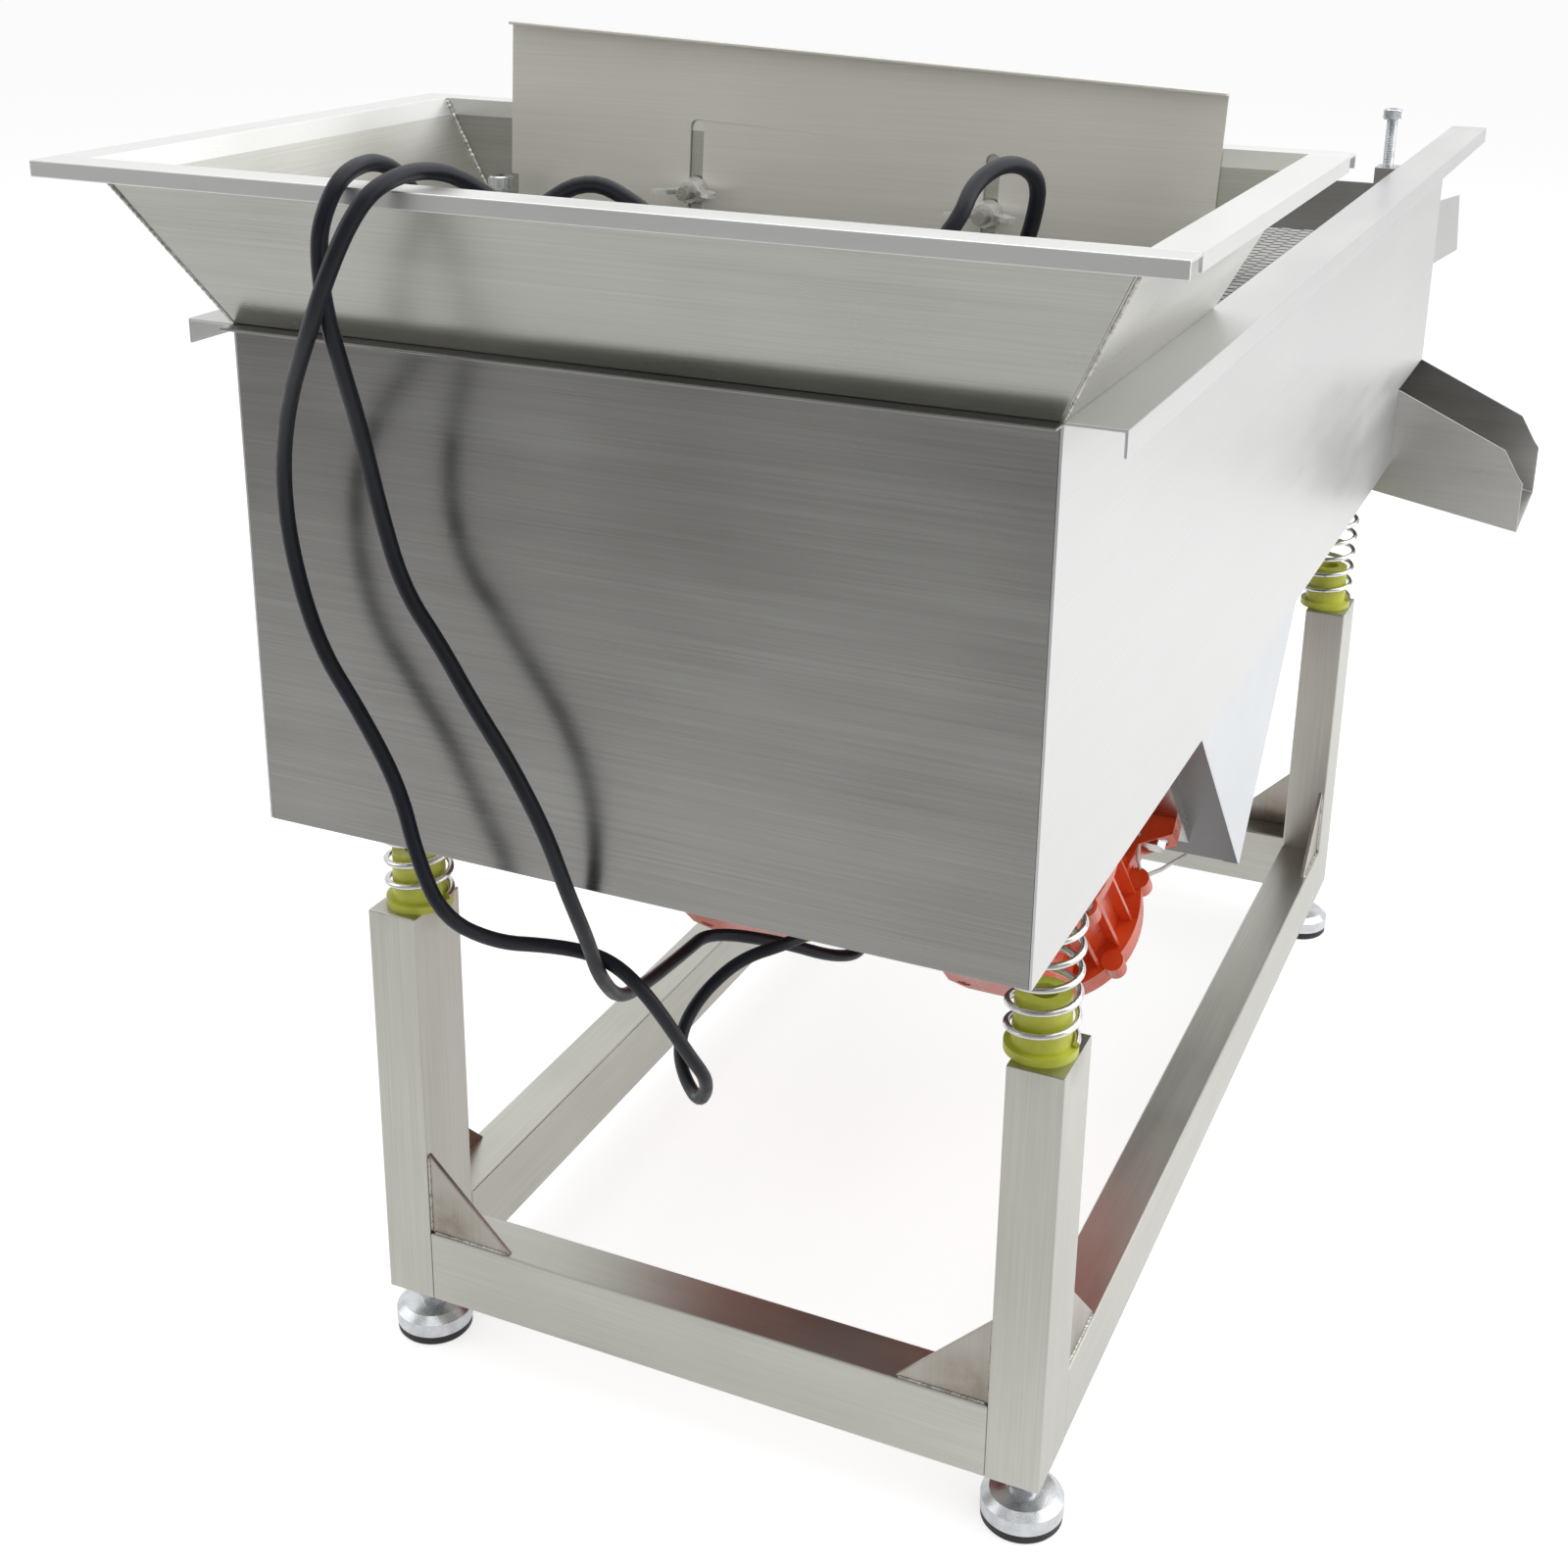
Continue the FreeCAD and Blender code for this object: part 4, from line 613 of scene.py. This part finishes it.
def perforated_deck():
    """The upper deck with its staggered slots cut through."""
    low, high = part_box("upper_deck")
    columns = int((high[0] - low[0] - DECK_BORDER) / SLOT_PITCH[0])
    rows = int((high[1] - low[1] - DECK_BORDER) / SLOT_PITCH[1])
    half = SLOT_PITCH[0] / 2
    left = (low[0] + high[0]) / 2 - columns * half
    front = (low[1] + high[1]) / 2 - rows * SLOT_PITCH[1] / 2
    points, faces = [], []

    def point(x, y):
        points.append((x, y, high[2]))
        return len(points) - 1

    grid = []
    for j in range(rows + 1):
        grid.append([point(left + half * i, front + SLOT_PITCH[1] * j)
                     for i in range(2 * columns + 1)])
    for j in range(rows):
        below, above = grid[j], grid[j + 1]
        for i in range(j % 2, 2 * columns - 1, 2):
            x, y = left + half * (i + 1), front + SLOT_PITCH[1] * (j + 0.5)
            bl, br, right, tr, tl, tip = [
                point(x + SLOT_LONG * u, y + SLOT_WIDE * v) for u, v in SLOT_CORNERS]
            lb, mb, rb = below[i:i + 3]
            lt, mt, rt = above[i:i + 3]
            faces += [(lb, mb, bl), (mb, rb, br, bl), (rb, right, br), (rb, rt, right),
                      (rt, tr, right), (rt, mt, tl, tr), (mt, lt, tl), (lt, tip, tl),
                      (lt, lb, tip), (lb, bl, tip)]
        if j % 2:
            faces.append((below[0], below[1], above[1], above[0]))
            faces.append((below[-2], below[-1], above[-1], above[-2]))
    a, b = point(low[0], low[1]), point(high[0], low[1])
    c, d = point(high[0], high[1]), point(low[0], high[1])
    faces.append((a, b, *grid[0][::-1]))
    faces.append((b, c, *[row[-1] for row in grid[::-1]]))
    faces.append((c, d, *grid[-1]))
    faces.append((d, a, *[row[0] for row in grid]))
    mesh = bpy.data.meshes.new("upper_screen")
    mesh.from_pydata(points, [], faces)
    mesh.materials.append(deck_steel)
    deck = bpy.data.objects.new("upper_screen", mesh)
    bpy.context.scene.collection.objects.link(deck)
    thick = deck.modifiers.new("sheet", "SOLIDIFY")
    thick.thickness = high[2] - low[2]
    thick.offset = -1
    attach(deck, "box")
    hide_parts("upper_deck")


# ---------------------------------------------------------------- cables

CABLE_DIAMETER = 0.010
COIL_INNER, COIL_PITCH, COIL_LIFT = 0.0445, 0.0103, 0.0103
COIL_BASE = 0.742 + CABLE_DIAMETER / 2 + 0.0002
COIL_TURNS_PER_LAYER = 3
COIL_POINTS = 16
COIL_RIGHT, COIL_LEFT = (0.115, -0.470), (-0.137, -0.462)


def coil_points(centre, start_angle):
    """Three layers of turns, wound in, out and in again, from the top layer down."""
    points = []
    layer_steps = COIL_TURNS_PER_LAYER * COIL_POINTS
    drop_steps = COIL_POINTS // 2
    step = 0
    for layer in range(3):
        for k in range(layer_steps):
            share = k / COIL_POINTS
            out = COIL_TURNS_PER_LAYER - share if layer % 2 == 0 else share
            points.append((step, COIL_INNER + COIL_PITCH * out, 2 - layer))
            step += 1
        if layer == 2:
            break
        edge = COIL_INNER + (0 if layer % 2 == 0 else COIL_PITCH * COIL_TURNS_PER_LAYER)
        for k in range(drop_steps):
            points.append((step, edge, 2 - layer - k / drop_steps))
            step += 1
    swell = 1 / math.cos(math.pi / COIL_POINTS)
    placed = []
    for step, radius, level in points:
        angle = start_angle + math.tau * step / COIL_POINTS
        placed.append((centre[0] + radius * swell * math.cos(angle),
                       centre[1] + radius * swell * math.sin(angle),
                       COIL_BASE + COIL_LIFT * level))
    return placed


CABLE_FRONT = [
    (0.05, -0.1825, 0.2638), (0.014, -0.1825, 0.2638), (0, -0.206, 0.286),
    (0.006, -0.252, 0.312), (0.01, -0.3, 0.33), (-0.004, -0.342, 0.33), (-0.031, -0.37, 0.325),
    (-0.048, -0.398, 0.308), (-0.056, -0.418, 0.289), (-0.051, -0.438, 0.276),
    (-0.035, -0.46, 0.269), (-0.01, -0.484, 0.268), (0.009, -0.508, 0.305),
    (0.005, -0.53, 0.337), (-0.003, -0.55, 0.374), (-0.014, -0.562, 0.401),
    (-0.032, -0.566, 0.418), (-0.052, -0.57, 0.425), (-0.072, -0.588, 0.434),
    (-0.089, -0.624, 0.45), (-0.107, -0.656, 0.479), (-0.126, -0.654, 0.517),
    (-0.14, -0.648, 0.559), (-0.168, -0.645, 0.603), (-0.198, -0.645, 0.645),
    (-0.212, -0.648, 0.705), (-0.208, -0.657, 0.762), (-0.177, -0.685, 0.818),
    (-0.138, -0.714, 0.866), (-0.116, -0.722, 0.904), (-0.103, -0.716, 0.933),
    (-0.095, -0.702, 0.949), (-0.089, -0.668, 0.954), (-0.082, -0.636, 0.945),
    (-0.067, -0.6, 0.916), (-0.036, -0.58, 0.943), (-0.003, -0.572, 0.926),
    (0.035, -0.565, 0.893), (0.075, -0.56, 0.866), (0.118, -0.557, 0.868),
    (0.155, -0.552, 0.894), (0.183, -0.546, 0.927), (0.183, -0.524, 0.947),
    (0.195, -0.496, 0.957), (0.205, -0.468, 0.944), (0.195, -0.448, 0.912),
    (0.182, -0.436, 0.884), (0.180, -0.438, 0.842), (0.183, -0.444, 0.806)]
CABLE_LOOP = [
    (-0.05, -0.1825, 0.2638), (-0.01, -0.1825, 0.2638), (0.006, -0.212, 0.26),
    (0, -0.258, 0.276), (-0.028, -0.306, 0.308), (-0.068, -0.352, 0.33),
    (-0.071, -0.385, 0.329), (-0.068, -0.43, 0.336), (-0.064, -0.475, 0.345),
    (-0.05, -0.532, 0.37), (-0.037, -0.58, 0.415), (-0.03, -0.606, 0.455),
    (-0.027, -0.624, 0.483), (-0.029, -0.635, 0.509), (-0.036, -0.645, 0.549),
    (-0.057, -0.65, 0.594), (-0.083, -0.65, 0.63), (-0.104, -0.648, 0.661),
    (-0.13, -0.648, 0.695), (-0.141, -0.652, 0.745), (-0.14, -0.668, 0.798),
    (-0.135, -0.69, 0.841), (-0.136, -0.701, 0.876), (-0.135, -0.705, 0.908),
    (-0.129, -0.708, 0.929), (-0.123, -0.696, 0.952), (-0.124, -0.661, 0.956),
    (-0.129, -0.625, 0.94), (-0.13, -0.597, 0.905), (-0.122, -0.572, 0.866),
    (-0.111, -0.54, 0.834), (-0.096, -0.522, 0.804)]


def make_cable(name, points):
    """A round cable that follows a NURBS curve and rides on the box."""
    curve = bpy.data.curves.new(name, "CURVE")
    curve.dimensions = "3D"
    spline = curve.splines.new("NURBS")
    spline.points.add(len(points) - 1)
    for point, place in zip(spline.points, points):
        point.co = (*place, 1)
    spline.order_u = 3
    spline.use_endpoint_u = True
    spline.resolution_u = 6
    curve.bevel_depth = CABLE_DIAMETER / 2
    curve.bevel_resolution = 4
    curve.use_fill_caps = True
    curve.materials.append(sheath)
    cable = bpy.data.objects.new(name, curve)
    bpy.context.scene.collection.objects.link(cable)
    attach(cable, "box")
    return cable


def line_length(cable):
    """Length of the cable's own line, from the curve with no bevel."""
    bare = cable.copy()
    bare.data = cable.data.copy()
    bare.data.bevel_depth = 0
    mesh = bpy.data.meshes.new_from_object(bare)
    places = [v.co for v in mesh.vertices]
    length = sum((b - a).length for a, b in zip(places, places[1:]))
    bpy.data.meshes.remove(mesh)
    old = bare.data
    bpy.data.objects.remove(bare)
    bpy.data.curves.remove(old)
    return length


# half sizes of a tie's inside, its wall, half its band and its flat underside, in millimetres
TIE_ACROSS, TIE_HIGH, TIE_WALL, TIE_BAND, TIE_UNDER = 20.9, 15.5, 1.0, 2, -15.4
TIE_POINTS, TIE_SQUARE = 28, 0.45


def make_tie(name, centre, angle):
    """A plastic band round the turns of a coil."""
    out = Vector((math.cos(angle), math.sin(angle), 0))
    up = Vector((0, 0, 1))
    axes = Matrix((out, up, out.cross(up))).transposed().to_4x4()
    middle = Vector((*centre, COIL_BASE + COIL_LIFT)) + out * (
        COIL_INNER + COIL_PITCH * COIL_TURNS_PER_LAYER / 2)
    place = Matrix.Translation(middle) @ axes
    shape = bmesh.new()
    rings = []
    for grow, depth in ((TIE_WALL, -TIE_BAND), (TIE_WALL, TIE_BAND), (0.0, TIE_BAND),
                        (0.0, -TIE_BAND), (TIE_WALL, -TIE_BAND)):
        ring = []
        for k in range(TIE_POINTS):
            turn = math.tau * k / TIE_POINTS
            u, v = math.cos(turn), math.sin(turn)
            across = math.copysign(abs(u) ** TIE_SQUARE, u) * (TIE_ACROSS + grow)
            high = max(math.copysign(abs(v) ** TIE_SQUARE, v) * (TIE_HIGH + grow), TIE_UNDER)
            ring.append(shape.verts.new(place @ (Vector((across, high, depth)) * MM)))
        rings.append(ring)
    join_rings(shape, rings)
    bmesh.ops.remove_doubles(shape, verts=rings[0] + rings[-1], dist=0.000001)
    return add_piece(name, shape, gland_black, "box")


front_route = CABLE_FRONT + [(0.1855, -0.444, 0.782), (0.1835, -0.431, 0.7690)]
front_route += coil_points(COIL_RIGHT, math.radians(45))
loop_route = CABLE_LOOP + [(-0.0895, -0.518, 0.781), (-0.0780, -0.509, 0.7690)]
loop_route += coil_points(COIL_LEFT, math.radians(-25))

tie_right = make_tie("coil_tie_right", COIL_RIGHT, math.radians(-60))
tie_left = make_tie("coil_tie_left", COIL_LEFT, math.radians(-110))
cable_front = make_cable("power_cable_front", front_route)
cable_loop = make_cable("power_cable_loop", loop_route)
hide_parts("cable_front", "coil_right")
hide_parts("cable_loop", "coil_left")
round(line_length(cable_front), 2)
round(line_length(cable_loop), 2)

weld_seams()
screw_details()
motor_details("left", -1)
motor_details("right", 1)
funnel_details()
perforated_deck()


# ---------------------------------------------------------------- stage

def shade_nodes(owner):
    """Empties the node tree of a material or world and gives the way to add to it."""
    owner.use_nodes = True
    owner.node_tree.nodes.clear()
    return node_adder(owner.node_tree)


def mirror_rays(add):
    """Two switches: one for camera rays, one for rays off metal or through glass."""
    path = add("ShaderNodeLightPath").outputs
    glossy = add("ShaderNodeMath", {0: path["Is Glossy Ray"], 1: path["Is Transmission Ray"]},
                 operation="MAXIMUM")
    return path["Is Camera Ray"], glossy.outputs[0]


FLOOR_REACH = 25
FLOOR_LIT, FLOOR_SEEN = 0.62, 0.70
# the floor's glow as metal mirrors it, a painted reflection: its level in front of the machine and
# behind it
MIRROR_NEAR, MIRROR_FAR = 0.05, 0.60
MIRROR_FROM_Y, MIRROR_TO_Y = -2.6, 0.2
# the same for the world, against the Y part of the direction
AMBIENT = 0.42
SKY_NEAR, SKY_FAR = 0.42, 0.95
SKY_FROM, SKY_TO = -0.9, 0.6

floor_paint = bpy.data.materials.new("pale_floor")
add = shade_nodes(floor_paint)
seen, mirrored = mirror_rays(add)
ground = add("ShaderNodeSeparateXYZ", {0: add("ShaderNodeNewGeometry").outputs["Position"]})
# painted reflection: the floor glows for mirror rays, less in front of the machine and more behind
# it
back = add("ShaderNodeMapRange", {
    0: ground.outputs["Y"], 1: MIRROR_FROM_Y, 2: MIRROR_TO_Y, 3: MIRROR_NEAR, 4: MIRROR_FAR},
    interpolation_type="SMOOTHSTEP")
painted_reflection_glow = add("ShaderNodeMath", {0: mirrored, 1: back.outputs[0]}, operation="MULTIPLY")
in_view = add("ShaderNodeMath", {0: seen, 1: FLOOR_SEEN}, operation="MULTIPLY")
strength = add("ShaderNodeMath", {0: painted_reflection_glow.outputs[0], 1: in_view.outputs[0]}, operation="ADD")
glow = add("ShaderNodeEmission", {0: (1, 1, 1, 1), 1: strength.outputs[0]})
lit = add("ShaderNodeBsdfDiffuse", {0: (FLOOR_LIT, FLOOR_LIT, FLOOR_LIT, 1)})
both = add("ShaderNodeAddShader", {0: lit.outputs[0], 1: glow.outputs[0]})
add("ShaderNodeOutputMaterial", {0: both.outputs[0]})

floor_mesh = bpy.data.meshes.new("floor")
floor_corners = [(x * FLOOR_REACH, y * FLOOR_REACH, 0)
                 for x, y in ((-1, -1), (1, -1), (1, 1), (-1, 1))]
floor_mesh.from_pydata(floor_corners, [], [(0, 1, 2, 3)])
floor = bpy.data.objects.new("floor", floor_mesh)
floor_mesh.materials.append(floor_paint)
bpy.context.scene.collection.objects.link(floor)

world = bpy.data.worlds.new("studio")
bpy.context.scene.world = world
add = shade_nodes(world)
seen, mirrored = mirror_rays(add)
aim = add("ShaderNodeSeparateXYZ", {0: add("ShaderNodeTexCoord").outputs["Generated"]})
graded = add("ShaderNodeMapRange", {
    0: aim.outputs["Y"], 1: SKY_FROM, 2: SKY_TO, 3: SKY_NEAR, 4: SKY_FAR})
ambient = add("ShaderNodeMix", {0: mirrored, 2: AMBIENT, 3: graded.outputs[0]}, data_type="FLOAT")
level = add("ShaderNodeMath", {0: ambient.outputs[0], 1: seen}, operation="MAXIMUM")
sky = add("ShaderNodeBackground", {0: (1, 1, 1, 1), 1: level.outputs[0]})
add("ShaderNodeOutputWorld", {0: sky.outputs[0]})


def area_light(name, place, aim, size, power):
    """A rectangular lamp at a place, turned to face the aim."""
    data = bpy.data.lights.new(name, "AREA")
    data.shape = "RECTANGLE"
    data.size, data.size_y = size
    data.energy = power
    lamp = bpy.data.objects.new(name, data)
    lamp.location = place
    lamp.rotation_mode = "QUATERNION"
    lamp.rotation_quaternion = (Vector(aim) - Vector(place)).to_track_quat("-Z", "Y")
    bpy.context.scene.collection.objects.link(lamp)


area_light("overhead", (0.3, 0.3, 3.4), (0, 0.1, 0.5), (4.6, 4.6), 84)
area_light("right_panel", (3.2, 0.9, 1.9), (0.2, 0.1, 0.6), (4.0, 3.2), 46)
area_light("left_fill", (-3.0, -1.4, 1.8), (0, 0, 0.6), (2.4, 2.4), 18)

bpy.context.scene.view_settings.view_transform = "Standard"
